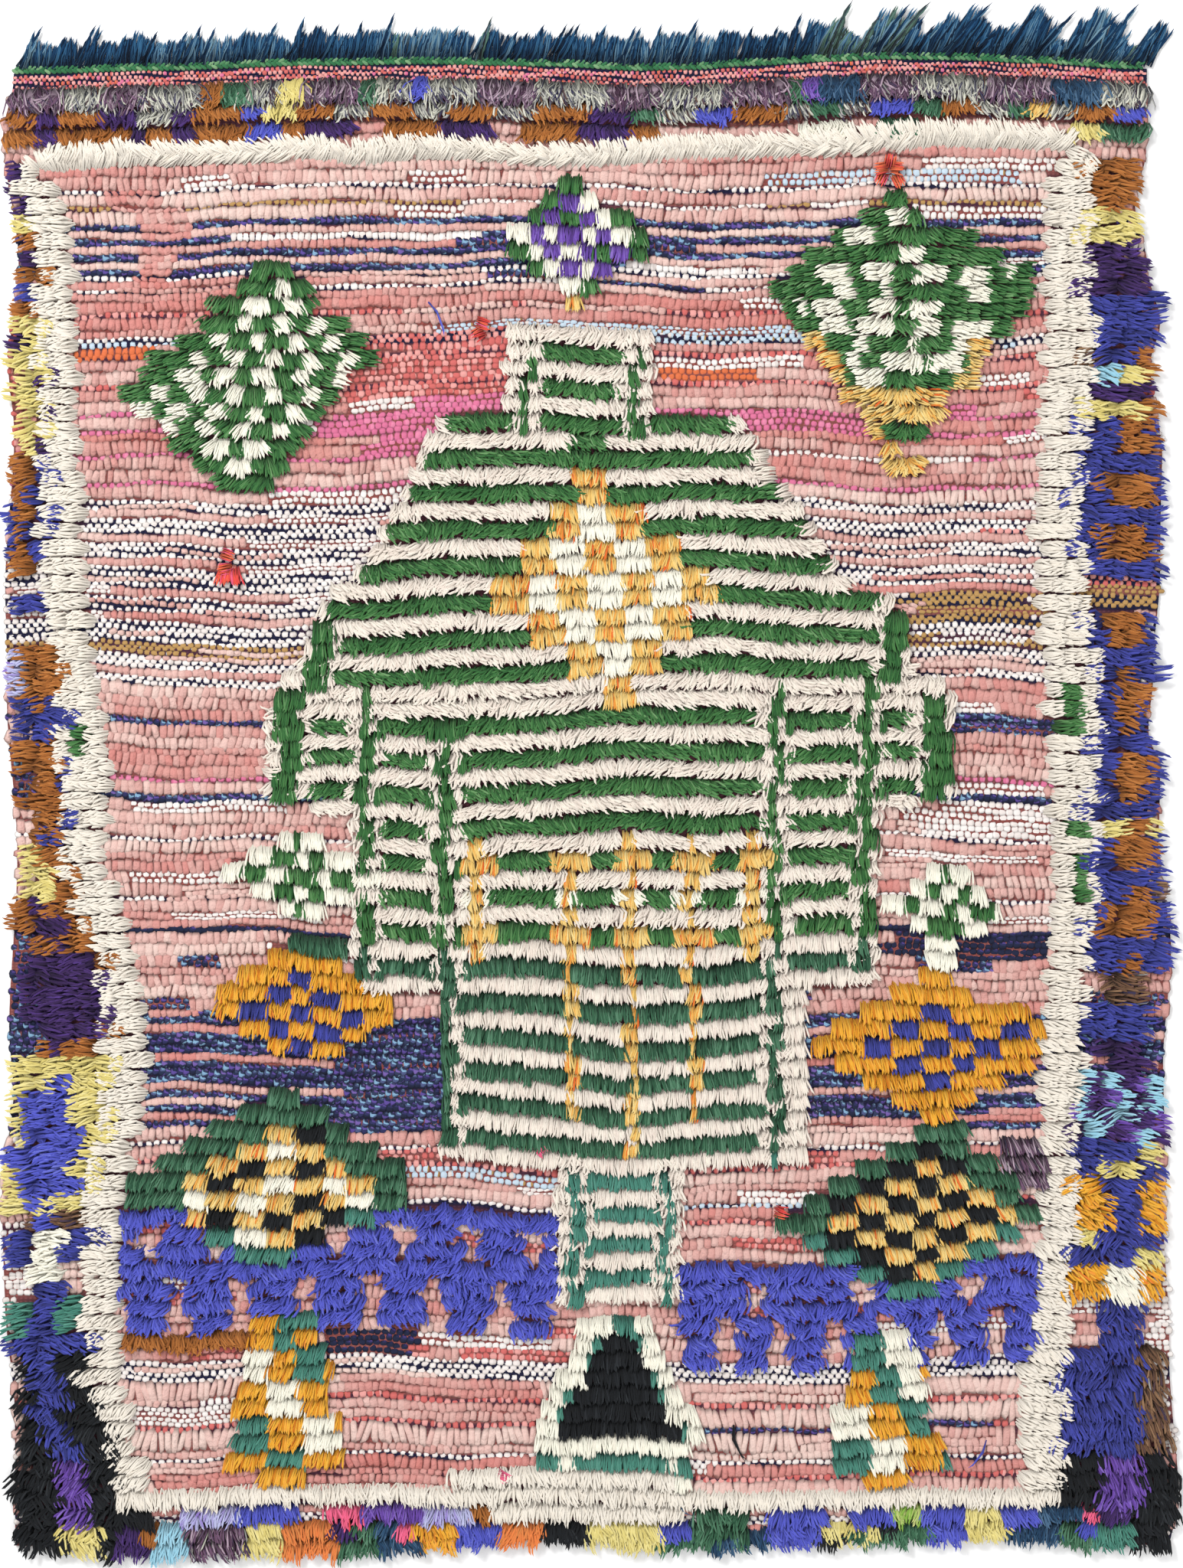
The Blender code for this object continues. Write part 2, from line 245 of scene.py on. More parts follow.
# The medallion: its stepped outline, the green uprights in it, and the gold stems low down
MEDALLION = rows(Tier, """
    434 664 848, 536 664 848, 537 575 965, 560 572 972, 600 545 1000, 650 525 1035, 700 495 1065,
    740 460 1092, 770 425 1122, 790 405 1185, 835 395 1185, 870 372 1190, 900 352 1240, 1050 352 1240,
    1054 466 1147, 1283 466 1147, 1290 576 1047, 1505 576 1047, 1512 733 892, 1700 733 892""")
UPRIGHTS = rows(Upright, """
    690 445 560 6, 829 445 560 6, 413 795 885 15, 379 890 1045 15, 479 885 1270 6.5, 582 950 1500 6.5,
    1167 790 885 13, 1220 900 1045 15, 1012 885 1520 6.5, 1132 885 1270 6.5, 752 1512 1690 6,
    872 1512 1690 6""")
STEMS = rows(Upright, """
    625 1085 1245 8, 745 1100 1440 8, 826 1085 1500 8, 905 1085 1440 8, 985 1085 1245 8""")
COMBS = (Comb(158, 750, 66, 72, 83.6, 1), Comb(887, 1378, 69, 74, 70, 2))
TOWERS = (Tower(372, 1712, 1942, 40, 82, "UTUA"), Tower(1157, 1740, 1942, 34, 84, "TAU"))
STRIPE_TURN_ROW = 36                # from this row down the green rows have odd numbers
DARK_GREEN_PY = 1230                # the green yarn changes below here
TEAL_PY = 1500
STEM_ARMS = 150                     # how far down a gold stem its side steps go
CREAM_RIM = 13                      # the cream beside an upright and inside the outline
TOWER_BLOCK = 44                    # how high a block of a tower is
TOWER_FOOT = 24
PEAK_PX = 807                       # the middle of the black triangle

# Flat weave: each band's order of picks is repeated down to py = until, with guests among them.
# A pick's height, pitch and width are in pixels and its rise in millimetres.
PICK_ORDER = rows(Picks, """
    117 g, 212 R, 285 PwPnPwP ww, 352 TpTr wPT, 378 wrwr PT, 420 SkSrT kwp, 450 rwbr wsr,
    520 kSRkS wks, 600 RhRhs whr, 650 RhPR hw, 700 wwrwwwr Rkp, 825 wwwrwwwwr Rpr, 840 nn wp,
    880 wwwrww Rp, 900 Rwwr Rnw, 1010 RRTRPr wTw, 1040 hRT, 1200 RPRwPr wp, 1216 rN, 1320 RPRr wT,
    1480 TTrTTTsT rT, 1600 PwRkPr wkb, 1768 RPRr wk, 1798 www wp, 1945 LkLkLpwSk pw, 2048 wwr R""")
# A pick's under is the ground's tone beneath it: mostly navy warp under the cottons, and under the
# rags a dark pink, painted shade in the gaps between their beads
PICKS = keyed_rows(Pick, """
    P rag_weft 16.0 9.3 10.2 4.0 0.2 0.1 0.85, p rag_weft 10 9.0 9.9 3.2 0.2 0.08 0.85,
    R rag_weft 15.5 9.3 10.2 4.0 0.33 0.13 0.8, r rag_weft 10 9.0 9.9 3.2 0.35 0.09 0.8,
    S rag_weft 15.0 9.3 10.2 4.0 0.52 0.09 0.9, s rag_weft 10 9.0 9.9 3.2 0.52 0.09 0.9,
    c rag_weft 12 10.5 11.6 4.2 0.5 0.14 1.0, L rag_weft 24 9.0 9.9 4.0 0.14 0.09 0.8,
    w fine_weft 6.5 10.5 8.7 1.7 0.11 0.1 0.0, b fine_weft 6.5 10.5 8.4 1.7 0.36 0.06 0.0,
    n fine_weft 6.0 9.5 8.0 1.6 0.47 0.03 0.3, o fine_weft 9.0 10.5 8.4 2.0 0.6 0.04 0.2,
    k fine_weft 8.0 10.0 8.6 1.9 0.74 0.06 0.3, g fine_weft 4.6 7.0 5.4 1.5 0.77 0.11 0.0,
    h fine_weft 7.0 10.0 8.6 1.9 0.94 0.05 0.6, T tweed_weft 9.5 8.0 8.8 2.2 0.5 0.34 0.0,
    N tweed_weft 7.0 8.0 10.0 1.8 0.12 0.1 0.0""")
PATCHES = rows(Patch, """
    146 212 238 268 c, 176 238 262 302 c, 182 226 318 372 c, 440 700 432 520 k, 380 500 452 492 o,
    95 200 448 470 o, 860 990 478 494 o, 1040 1370 224 236 b, 245 310 228 246 w, 1180 1370 208 222 w,
    455 600 1340 1455 T, 400 670 532 562 h, 480 610 566 590 h, 1180 1370 770 815 n,
    600 1130 424 450 b, 1145 1385 1222 1248 N, 420 545 1748 1768 N, 60 150 1640 1705 L,
    0 60 430 590 k, 0 120 720 830 w, 0 60 985 1065 T, 0 60 1212 1480 T, 0 60 1590 1762 w,
    1390 1545 740 762 k, 1390 1545 762 788 n, 1500 1545 1600 1900 w, 1185 1385 1022 1036 w,
    1200 1385 1056 1072 w, 1170 1385 1084 1098 w, 1190 1385 1112 1128 w, 1240 1385 1194 1208 w,
    225 420 1199 1209 w, 175 330 1292 1302 w, 440 700 1798 1822 S, 175 640 1922 1941 S,
    430 700 1838 1845 w, 345 520 640 782 w, 1215 1340 790 838 w, 880 1340 1816 1836 k,
    900 1340 1850 1862 T""")
# Loose yarn ends and snippets that lie in the weave
SCRAPS = rows(Scrap, """
    958 1860 18 tail X, 876 1943 38 tail N, 903 1982 -24 tail N, 622 420 70 short J,
    634 432 -60 short J, 1161 219 -78 short Z, 1161 219 76 short Z, 1155 226 -28 short J,
    1168 228 24 short Z, 1160 222 172 short J, 1392 196 66 fan F, 1376 214 70 fan F,
    1404 214 58 fan F, 1384 231 80 fan F, 1412 200 40 fan F, 288 722 70 short J, 305 742 -80 short J,
    700 1492 40 short H, 648 1922 60 short H, 1010 1580 75 short J, 560 395 30 tail B,
    1288 1880 -30 tail B""")

# Tufts of pile. Lengths are in metres, and swing and curl in degrees. Roots spread across a
# tuft and scatter along it, and gather draws the tips together: into three points, or where
# it is below zero into one, out of a plump bundle.
TUFTS = {
    "shag": Tuft(8, 9.6 * MM, 5 * MM, 17, 26 * MM, 11.5 * MM, 60, 1.2 * MM, 0.2),
    "long": Tuft(8, 9.8 * MM, 12 * MM, 24, 34 * MM, 11.5 * MM, 100, 1.1 * MM, 0.0),
    "fan": Tuft(8, 20.5 * MM, 5 * MM, 9, 27 * MM, 11 * MM, 55, 1.35 * MM, -0.3),
    "edge": Tuft(8, 20.5 * MM, 6 * MM, 12, 27 * MM, 11 * MM, 66, 1.45 * MM, -0.24),
    "short": Tuft(8, 20.5 * MM, 3 * MM, 9, 20 * MM, 11 * MM, 30, 1.25 * MM, 0.25),
    "curly": Tuft(8, 10.4 * MM, 7 * MM, 21, 24 * MM, 10.8 * MM, 122, 1.42 * MM, 0.0),
    "stiff": Tuft(8, 9.0 * MM, 4 * MM, 9, 26 * MM, 10.8 * MM, 62, 1.25 * MM, 0.1),
    "combed": Tuft(8, 9.4 * MM, 3 * MM, 10, 26 * MM, 11.5 * MM, 28, 1.2 * MM, 0.35),
    "tail": Tuft(2, 1.0 * MM, 0, 4, 46 * MM, 6 * MM, 90, 1.1 * MM, 0.0),
}
STATIONS = rows(Station, "0.0 0.2 0.8, 0.37 0.72 1.0, 0.84 1.0 0.92, 1.0 0.86 0.0")
# Mats under the tufts: along, rise, shade and width of each pair of points; shade is the mark that
# gives the mat its painted shade
NARROW_MAT = rows(Mat, "0.08 0.1 0.1 0.8, 0.5 0.6 0.42 1, 1.0 0.5 0.3 1")
WIDE_MAT = rows(Mat, "0.3 0.02 0.05 0.6, 0.8 0.3 0.3 0.85, 1.4 0.45 0.3 1")

# Dyes: each piece's tones as a place on its range and an sRGB colour, and, in ROOT_SHADES, how dark
# the painted shade at its roots is
PILE_TONES = {
    "pile_cream_frame": "0.04 228 222 184, 0.2 234 223 207, 0.5 238 230 217, 0.9 237 230 218",
    "pile_cream_field": "0.1 226 210 198, 0.4 240 230 217, 0.6 241 234 218, 0.9 247 245 228",
    "pile_green": """0.08 34 82 42, 0.22 54 106 56, 0.36 74 126 70, 0.5 120 164 110, 0.56 26 66 46,
        0.74 62 108 80, 0.92 104 148 120""",
    "pile_teal": "0.1 44 98 84, 0.5 74 136 120, 0.9 122 176 160",
    "pile_gold": """0.04 204 118 28, 0.2 234 168 46, 0.36 240 182 70, 0.52 228 92 38,
        0.58 232 160 68, 0.66 232 190 104, 0.94 240 216 148""",
    "pile_cobalt": "0.08 38 40 84, 0.3 62 68 150, 0.46 74 80 176, 0.66 88 94 202, 0.9 126 134 216",
    "pile_violet": """0.05 40 24 58, 0.22 66 42 96, 0.38 84 56 130, 0.52 110 74 170, 0.7 144 116 200,
        0.88 192 194 230""",
    "pile_rust": "0.05 112 62 26, 0.3 162 98 44, 0.5 190 122 62, 0.66 206 138 76, 0.9 234 132 70",
    "pile_straw": "0.05 190 170 86, 0.35 228 213 134, 0.6 242 230 166, 0.92 132 174 70",
    "pile_black": """0.05 12 15 18, 0.3 25 28 32, 0.5 54 58 62, 0.62 22 38 62, 0.8 36 72 104,
        0.95 84 116 146""",
    "pile_marl": """0.0 34 18 32, 0.1 192 168 184, 0.18 50 26 46, 0.28 120 88 114, 0.36 42 38 66,
        0.44 222 222 204, 0.53 40 44 62, 0.6 228 226 210, 0.68 42 44 82, 0.78 104 74 56,
        0.86 152 118 88, 0.94 108 78 58""",
    "pile_odd": """0.0 150 205 225, 0.3 170 214 232, 0.33 240 110 150, 0.64 236 96 130,
        0.68 222 68 66, 0.8 230 84 72, 0.86 238 116 76""",
}
WEFT_TONES = {
    "rag_weft": """0.02 228 200 190, 0.18 224 186 177, 0.34 210 161 153, 0.54 208 140 133,
        0.78 202 120 112, 0.95 214 112 94""",
    "fine_weft": """0.0 238 231 227, 0.1 230 220 215, 0.2 218 208 203, 0.31 192 210 224,
        0.42 180 142 88, 0.54 216 112 70, 0.66 204 104 100, 0.74 226 158 152,
        0.86 212 112 148, 0.96 224 132 164""",
    "tweed_weft": """0.0 30 36 62, 0.2 44 46 88, 0.3 90 72 146, 0.38 36 44 72, 0.5 74 84 124,
        0.58 128 166 196, 0.66 46 54 84, 0.78 112 90 160, 0.85 60 66 102,
        0.94 196 204 214""",
}
# The ground's tones: navy warp, and maroons and dark pinks that stand as painted shade in the gaps
# under the pile and the rags
GROUND_TONES = "0.0 34 34 62, 0.3 84 50 66, 0.75 146 88 84, 1.0 150 70 62"
WARP_TONES = """0.0 2 24 46, 0.3 14 58 96, 0.5 50 98 134, 0.64 116 150 168, 0.76 28 24 30,
    0.96 84 116 104"""
HEADING_TONES = "0.0 38 92 60, 0.6 58 122 78, 0.9 124 164 120"
ROOT_SHADES = {
    "pile_cream_frame": 0.72, "pile_cream_field": 0.68, "pile_marl": 0.2, "pile_green": 0.28,
    "pile_teal": 0.32, "pile_straw": 0.74, "pile_gold": 0.5,
}


def clamp(value, low, high):
    return max(low, min(high, value))


def ease(share):
    return share * share * (3 - 2 * share)


def read_outline(table, at):
    """How far out an edge of the body runs at a place, eased from row to row of its table."""
    at = at / MM
    if at <= table[0].at:
        return table[0].edge * MM
    for low, high in zip(table, table[1:]):
        if at <= high.at:
            share = ease((at - low.at) / (high.at - low.at))
            return (low.edge + (high.edge - low.edge) * share) * MM
    return table[-1].edge * MM


def sides_at(y, inset):
    """The body's left and right edges at a height, both drawn in by an inset."""
    return read_outline(LEFT_OUTLINE, y) + inset, read_outline(RIGHT_OUTLINE, y) - inset


def read_band(table, at):
    """The two edges of a band at a place, on straight lines between the rows of its table."""
    if at <= table[0].py:
        return table[0][1:]
    for low, high in zip(table, table[1:]):
        if at <= high[0]:
            share = (at - low[0]) / (high[0] - low[0])
            return tuple(a + (b - a) * share for a, b in zip(low[1:], high[1:]))
    return table[-1][1:]


def to_px(x):
    return x / PX + ORIGIN_PX[0]


def to_py(y):
    return ORIGIN_PX[1] - y / PX


def from_px(px):
    return (px - ORIGIN_PX[0]) * PX


def from_py(py):
    return (ORIGIN_PX[1] - py) * PX


def sway(x, y):
    """How far the rows wander from straight lines at a place, as (dx, dy)."""
    calm = clamp((BODY_TOP - y) / 0.25, 0, 1) * clamp((y + 0.96) / 0.12, 0, 1)
    down = 5.0 * math.sin(7.0 * x + 3.7 * y) + 3.0 * math.sin(17.0 * x - 7.8 * y + 1.0)
    down += 1.3 * math.sin(39.0 * x + 9.0 * y)
    down -= 13 * clamp((-x - 0.06) / 0.2, 0, 1) * clamp(1 - abs(y - 0.19) / 0.17, 0, 1)
    slope = ease(clamp((x + 0.17) / 0.23, 0, 1)) - ease(clamp((x - 0.12) / 0.25, 0, 1))
    down -= 19 * slope * clamp(1 - abs(y + 0.3) / 0.26, 0, 1)
    tilt = (read_outline(TOP_OUTLINE, x) - BODY_TOP) * clamp((y - 0.62) / 0.24, 0, 1)
    aside = 2.5 * math.sin(12.0 * y + 2.0 * x)
    return aside * MM * calm, down * MM * calm + tilt


def patch_at(patches, px, py):
    """The pick of the patch that a place lies in, or None."""
    for patch in patches:
        if patch.left <= px <= patch.right and patch.top <= py <= patch.bottom:
            return patch.pick
    return None


def row_yarn(table, place):
    """The yarns of the stripe at a place, in a table of stripes."""
    for stripe in table:
        if place < stripe.until:
            return stripe.yarns
    return table[-1].yarns


def mixed_yarn(letter, px, py, row, share):
    """The yarns of the border's mixtures. share runs from 0 at its left edge to 1 at its right."""
    knot = int(px / 19)
    if letter == "s":
        return "V" if row % 2 and share > 0.72 else "S"
    if letter == "b":
        return "R" if (knot + 2 * row) % 5 == 0 else "B"
    if letter == "r":
        return "B" if share > 0.85 and row % 3 else "R"
    if letter == "d":
        turn = ((py - 540) % 66 - 33) / 33
        return "R" if abs(turn) + abs(share - 0.55) * 3.2 < 0.95 else "B"
    if letter == "h":
        turn = ((py - 762) % 95 - 47) / 47
        return "R" if abs(turn) * 1.1 + abs(share - 0.47) * 3.4 < 1 else "B"
    if letter == "v":
        return "VKVIK"[(knot + row * 2) % 5]
    if letter == "q":
        return "BSB"[(int(share * 3) + row) % 3]
    return zigzag_yarn(px, py)


def zigzag_yarn(px, py):
    """The black corner low on the left, with a cobalt zigzag that drifts to the right."""
    middle = 48 + (py - 1762) * 0.27 + 9 * math.sin((py - 1762) / 17)
    if py > 1985:
        return "S" if 80 < px < 135 else "X"
    if abs(px - middle) < 19:
        return "I" if py > 1890 else "B"
    return "X"


def border_yarn(table, px, py, row, share):
    """A side border's yarn. Its blues are the darker of the two cobalts."""
    letter = row_yarn(table, py)[clamp(int(share * 3), 0, 2)]
    if letter.islower():
        letter = mixed_yarn(letter, px, py, row, share)
    return "W" if letter == "B" else letter


def kite_span(kite, py):
    """Where a kite's left and right edges lie at a height, or None above and below it."""
    if not kite.top[1] <= py <= kite.bottom[1]:
        return None
    span = []
    for side in (kite.left, kite.right):
        start, end = (kite.top, side) if py <= side[1] else (side, kite.bottom)
        share = (py - start[1]) / max(end[1] - start[1], 1)
        span.append(start[0] + (end[0] - start[0]) * share)
    if kite.rule == "zigzags":
        bulge = 17 * math.sin(math.pi * (py - kite.top[1]) / (kite.bottom[1] - kite.top[1]))
        span = [span[0] - bulge, span[1] + bulge]
    return span


def kite_yarn(kite, px, py, row):
    """The yarn of a lozenge at a place, by its own rule, or None beside it."""
    span = kite_span(kite, py)
    if span is None:
        return None
    middle = (kite.top[0] + kite.bottom[0]) / 2
    if kite.rule in ("loose", "zigzags"):
        middle += 7 * math.sin(2.3 * row)
    cell = math.floor((px - middle) / kite.cell + 0.5)
    centre = middle + cell * kite.cell
    depth = min(centre - span[0], span[1] - centre) / kite.cell
    if depth < (-0.05 if kite.yarns[0] in "DE" else -0.25):
        return None
    if kite.rule == "plain":
        return kite.yarns
    if kite.rule == "rings":
        wide, tall = (span[1] - span[0]) / 2, (kite.bottom[1] - kite.top[1]) / 2
        full = (kite.right[0] - kite.left[0]) / 2
        away = abs(px - middle) / full + abs(py - kite.top[1] - tall) / tall
        return kite.yarns[int(clamp((1 - away) * 3.7 + 0.3 * (wide < 30), 0, len(kite.yarns) - 1))]
    if kite.rule == "zigzags":
        if py > 545:
            return "G" if px < 1150 or py > 568 else kite.yarns[0]
        if depth < (1.1 if py < kite.left[1] else 0.8) or py > 505:
            return "G" if py > 425 else kite.yarns[0]
        across = (px - middle) / 19 + 0.8 * math.sin(row * 0.9)
        down = row * 1.15 + 0.6 * math.sin(px / 23)
        return kite.yarns[1 + (math.sin(across + down) * math.sin(across - down) > 0.06)]
    thick = {"D": 1.35 if py < kite.left[1] + 14 else 0.75, "U": 0.95}.get(kite.yarns[0], 0.75)
    if depth < thick:
        return "T" if kite.yarns[0] == "D" and py > kite.left[1] + 10 else kite.yarns[0]
    if kite.rule == "mixed":
        others = kite.yarns[2:]
        pick = (row * 5 + cell * 3 + row * cell) % len(others)
        return kite.yarns[1] if (row + cell) % 2 else others[pick]
    return kite.yarns[1 + (row + cell) % 2]


def kite_yarn_at(kites, px, py, row):
    for kite in kites:
        letter = kite_yarn(kite, px, py, row)
        if letter:
            return letter
    return None


def diamond_yarn(diamond, px, row):
    """A diamond of checks two rows high, one check wider on each side with each step."""
    step = (row - diamond.first) // 2
    steps = (diamond.last - diamond.first) // 2
    if not 0 <= step <= steps:
        return None
    reach = min(step, steps - step)
    check = abs(round((px - diamond.px - diamond.drift * (row - diamond.first)) / diamond.cell))
    if check > reach:
        return None
    return "G" if (check + reach) % 2 == 0 else "A"


def medallion_yarn(px, py, row):
    """The medallion: green and cream rows, with gold stems and green uprights over them."""
    if not MEDALLION[0].py <= py <= MEDALLION[-1].py:
        return None
    left, right = read_band(MEDALLION, py)
    if not left <= px <= right:
        return None
    green = "T" if py > TEAL_PY else "D" if py > DARK_GREEN_PY else "E"
    in_green_row = row % 2 == (1 if row >= STRIPE_TURN_ROW else 0)
    for stem in STEMS:
        if stem.top <= py <= stem.bottom:
            away = abs(px - stem.px - 3 * math.sin(row * 1.7))
            if away < (26 if row % 4 == 1 and py < stem.top + STEM_ARMS else stem.half):
                return "G"
            if away < 18 and in_green_row and py < stem.top + STEM_ARMS:
                return "A"
    for upright in UPRIGHTS:
        if upright.top <= py <= upright.bottom:
            away = abs(px - upright.px - 5 * math.sin(row * 1.3 + upright.px))
            if away < upright.half:
                return green
            if away < upright.half + CREAM_RIM and in_green_row:
                return "C"
    if min(px - left, right - px) < CREAM_RIM:
        return "C"
    return green if in_green_row else "C"


def comb_yarn(px, row):
    """The two cobalt combs: solid above, with small windows, and open slots below."""
    for comb in COMBS:
        if comb.left <= px <= comb.right and comb.first <= row <= comb.last:
            turn = (px - comb.left) / comb.pitch
            window = abs(turn % comb.skip - comb.skip + 0.55) * comb.pitch
            slot = abs((turn + 0.5) % 1 - 0.42) * comb.pitch
            step = row - comb.first
            left_over = comb.last - row
            if step in (1, 2) and window < (18 if step == 1 else 10):
                return None
            if left_over < 3 and slot < 16 - 2 * left_over:
                return None
            return "B"
    return None


def tower_yarn(px, py):
    """Two low towers that widen downwards, in uneven blocks of three yarns."""
    for tower in TOWERS:
        if tower.top <= py <= tower.bottom:
            level = int((py - tower.top) / TOWER_BLOCK)
            down = (py - tower.top) / (tower.bottom - tower.top)
            at_foot = py > tower.bottom - TOWER_FOOT
            half = 28 if at_foot else tower.narrow + (tower.wide - tower.narrow) * down
            if abs(px - tower.px - 6 * math.sin(level * 2.4)) <= half:
                if at_foot:
                    return "U"
                cell = int((px - tower.px + half) / (2 * half) * (3 if half > 46 else 2))
                kinds = len(tower.yarns)
                return tower.yarns[(cell + (3 if kinds == 4 else 2) * level) % kinds]
    return None


def foot_yarn(px, py, row):
    """The black triangle under the medallion, edged in teal and cream, on its striped foot."""
    if not 1726 <= py <= 1985:
        return None
    away = abs(px - PEAK_PX)
    if py < 1872:
        half = 16 + 68 * clamp((py - 1736) / 136, 0, 1)
        if py > 1734 and away < half:
            return "X"
        if away < half + 11 and (row + (px > PEAK_PX)) % 3:
            return "T"
        return "A" if away < half + 30 else None
    if not 702 <= px <= 898:
        return None
    return "T" if 1888 <= py < 1912 and (away < 62 or away > 76) else "A"


def end_yarn(px, py, row):
    """The block rows at both ends, outside the frame."""
    return None if row in BARE_ROWS else row_yarn(row_yarn(END_ROWS, py), px)


def field_yarn(px, py, row):
    letter = diamond_yarn(GOLD_DIAMOND, px, row) or kite_yarn_at(KITES, px, py, row)
    letter = letter or patch_at(ODD_TUFTS, px, py)
    letter = letter or tower_yarn(px, py) or foot_yarn(px, py, row)
    return letter or medallion_yarn(px, py, row) or comb_yarn(px, row)


def yarn_at(px, py, row):
    """The yarn knotted at a place: (letter, zone), or None where the weave is bare."""
    ragged = 4 * math.sin(row * 1.9) + 3 * math.sin(row * 3.1)
    left = [edge + ragged for edge in read_band(FRAME_LEFT, py)]
    right = [edge + ragged for edge in read_band(FRAME_RIGHT, py)]
    top = read_band(FRAME_TOP, px)
    bottom = read_band(FRAME_BOTTOM, px)
    spot = patch_at(FRAME_SPOTS, px, py)
    if spot:
        return spot, "frame_left" if px < 700 else "frame_right"
    if left[1] < px < right[0] and top[1] < py < bottom[0]:
        letter, zone = field_yarn(px, py, row), "field"
    elif left[0] <= px <= right[1] and top[0] <= py <= bottom[1]:
        side = "frame_bottom" if py >= bottom[0] else ""
        if py <= top[1] and left[1] - 30 < px < right[0] + 30:
            side = "frame_top"
        return "F", side or ("frame_left" if px <= left[1] else "frame_right")
    elif py < top[0]:
        letter, zone = end_yarn(px, py, row), "top"
    elif py > bottom[1] and px > 150:
        letter, zone = end_yarn(px, py, row), "bottom"
    elif px < left[0]:
        outer = to_px(read_outline(LEFT_OUTLINE, from_py(py)))
        share = (px - outer) / (left[0] - outer)
        letter = kite_yarn_at(BORDER_KITES, px, py, row)
        letter, zone = letter or border_yarn(LEFT_BORDER, px, py, row, share), "left"
    else:
        outer = to_px(read_outline(RIGHT_OUTLINE, from_py(py)))
        share = (px - right[1]) / (outer - right[1])
        letter, zone = border_yarn(RIGHT_BORDER, px, py, row, share), "right"
    return (letter, zone) if letter and letter != "." else None


def knot_chart():
    """What is knotted at each place of the grid of rows and knots."""
    chart = {}
    for row in range(ROWS):
        y = FIRST_ROW - row * ROW_PITCH
        inset = END_INSET if row < 4 or row > 80 else KNOT_INSET
        low, high = sides_at(y, inset)
        for knot in range(KNOTS):
            x = (knot - (KNOTS - 1) / 2) * KNOT_PITCH
            if low <= x <= high - 3 * MM and y > read_outline(BOTTOM_OUTLINE, x) - 12 * MM:
                found = yarn_at(to_px(x), to_py(y), row)
                if found:
                    chart[row, knot] = found
    return chart


def lean_of(zone, letter, px, py, row):
    """How a tuft lies: degrees from straight down the rug, how far off that, and its kind."""
    if zone == "frame_top":
        flare = 48 * clamp((80 - px) / 50, 0, 1) - 60 * clamp((px - 1395) / 35, 0, 1)
        slope = -34 * clamp((px - 90) / 50, 0, 1) + 18 * math.sin(px / 61)
        return 180 + flare + slope, 16, "combed"
    if zone in ("frame_bottom", "bottom"):
        return 20 * math.sin(px / 37 + row * 1.4) if zone == "bottom" else 0, 18, "shag"
    if zone == "frame_left":
        return -88 + 42 * clamp((py - 1650) / 200, 0, 1), 9, "fan"
    if zone == "frame_right":
        return 86 - 28 * clamp((py - 1250) / 350, 0, 1), 9, "fan"
    if zone == "top":
        lean = (12 if row == 0 else 26) * math.sin(px / 31 + row * 2.1)
        return lean, 14, "long" if row == 0 else "curly"
    if zone == "left":
        side = -1 if px < 48 or math.sin(row * 2.1 + px / 40) > -0.3 else 1
        return side * (80 - 48 * clamp((py - 1730) / 100, 0, 1)), 17, "edge"
    if zone == "right":
        side = 1 if px > 1460 or math.sin(row * 1.7 + px / 35) > -0.5 else -1
        return side * (80 - 58 * clamp((py - 1480) / 260, 0, 1)), 17, "edge"
    if py < 660 and (px < 520 or px > 990):
        middle, reach, kind = (345, 100, "combed") if px < 520 else (1186, 38, "curly")
        middle += 20 * math.sin(row * 1.7)
        lean = 72 * clamp((px - middle) / reach, -1, 1)
        return (lean, 13, "short") if abs(lean) > 38 else (lean, 24, kind)
    if any(abs(px - u.px) < 20 and u.top - 12 <= py <= u.bottom + 12 for u in UPRIGHTS):
        return (0, 7, "stiff") if letter in "EDT" else (0, 16, "curly")
    fan = 22 * (px - 771) / 600 * clamp((py - 1180) / 250, 0, 1)
    left, right = read_band(MEDALLION, py)
    if 434 <= py < 1500 and left <= px <= right:
        if letter == "G" or letter == "A" and py < 950:
            return 8 * math.sin(px / 7), 8, "stiff"
        calm = clamp((py - 1100) / 160, 0, 1)
        lean = fan + (48 - 42 * calm) * math.sin(px / 58 + row * 2.4)
        return lean, 20 - 13 * calm, "combed" if calm > 0.6 else "curly"
    if letter == "B":
        return fan + 30 * math.sin(px / 24 + row * 1.9), 20, "curly"
    return (0, 20, "curly") if letter == "R" else (fan, 10, "combed")


def tuft_size(zone, letter, kind, px, py, rng):
    """How wide, long and high a tuft is, as shares of its kind's own sizes."""
    wide, long, high = rng.uniform(0.9, 1.12), rng.uniform(0.88, 1.12), rng.uniform(0.86, 1.1)
    if zone in ("left", "right"):
        outer = 0.25 if px > 1445 else 0.0
        long = rng.uniform(0.8, 1.3) + outer * rng.random() * (1 + math.sin(py / 19))
    if zone == "bottom":
        long = rng.uniform(0.85, 1.3)
    if kind == "stiff" and letter in "EDT":
        long, high = 1.2, 1.15
    if zone == "frame_top" and px > 1020:
        long *= 1.15
    return wide, long, high


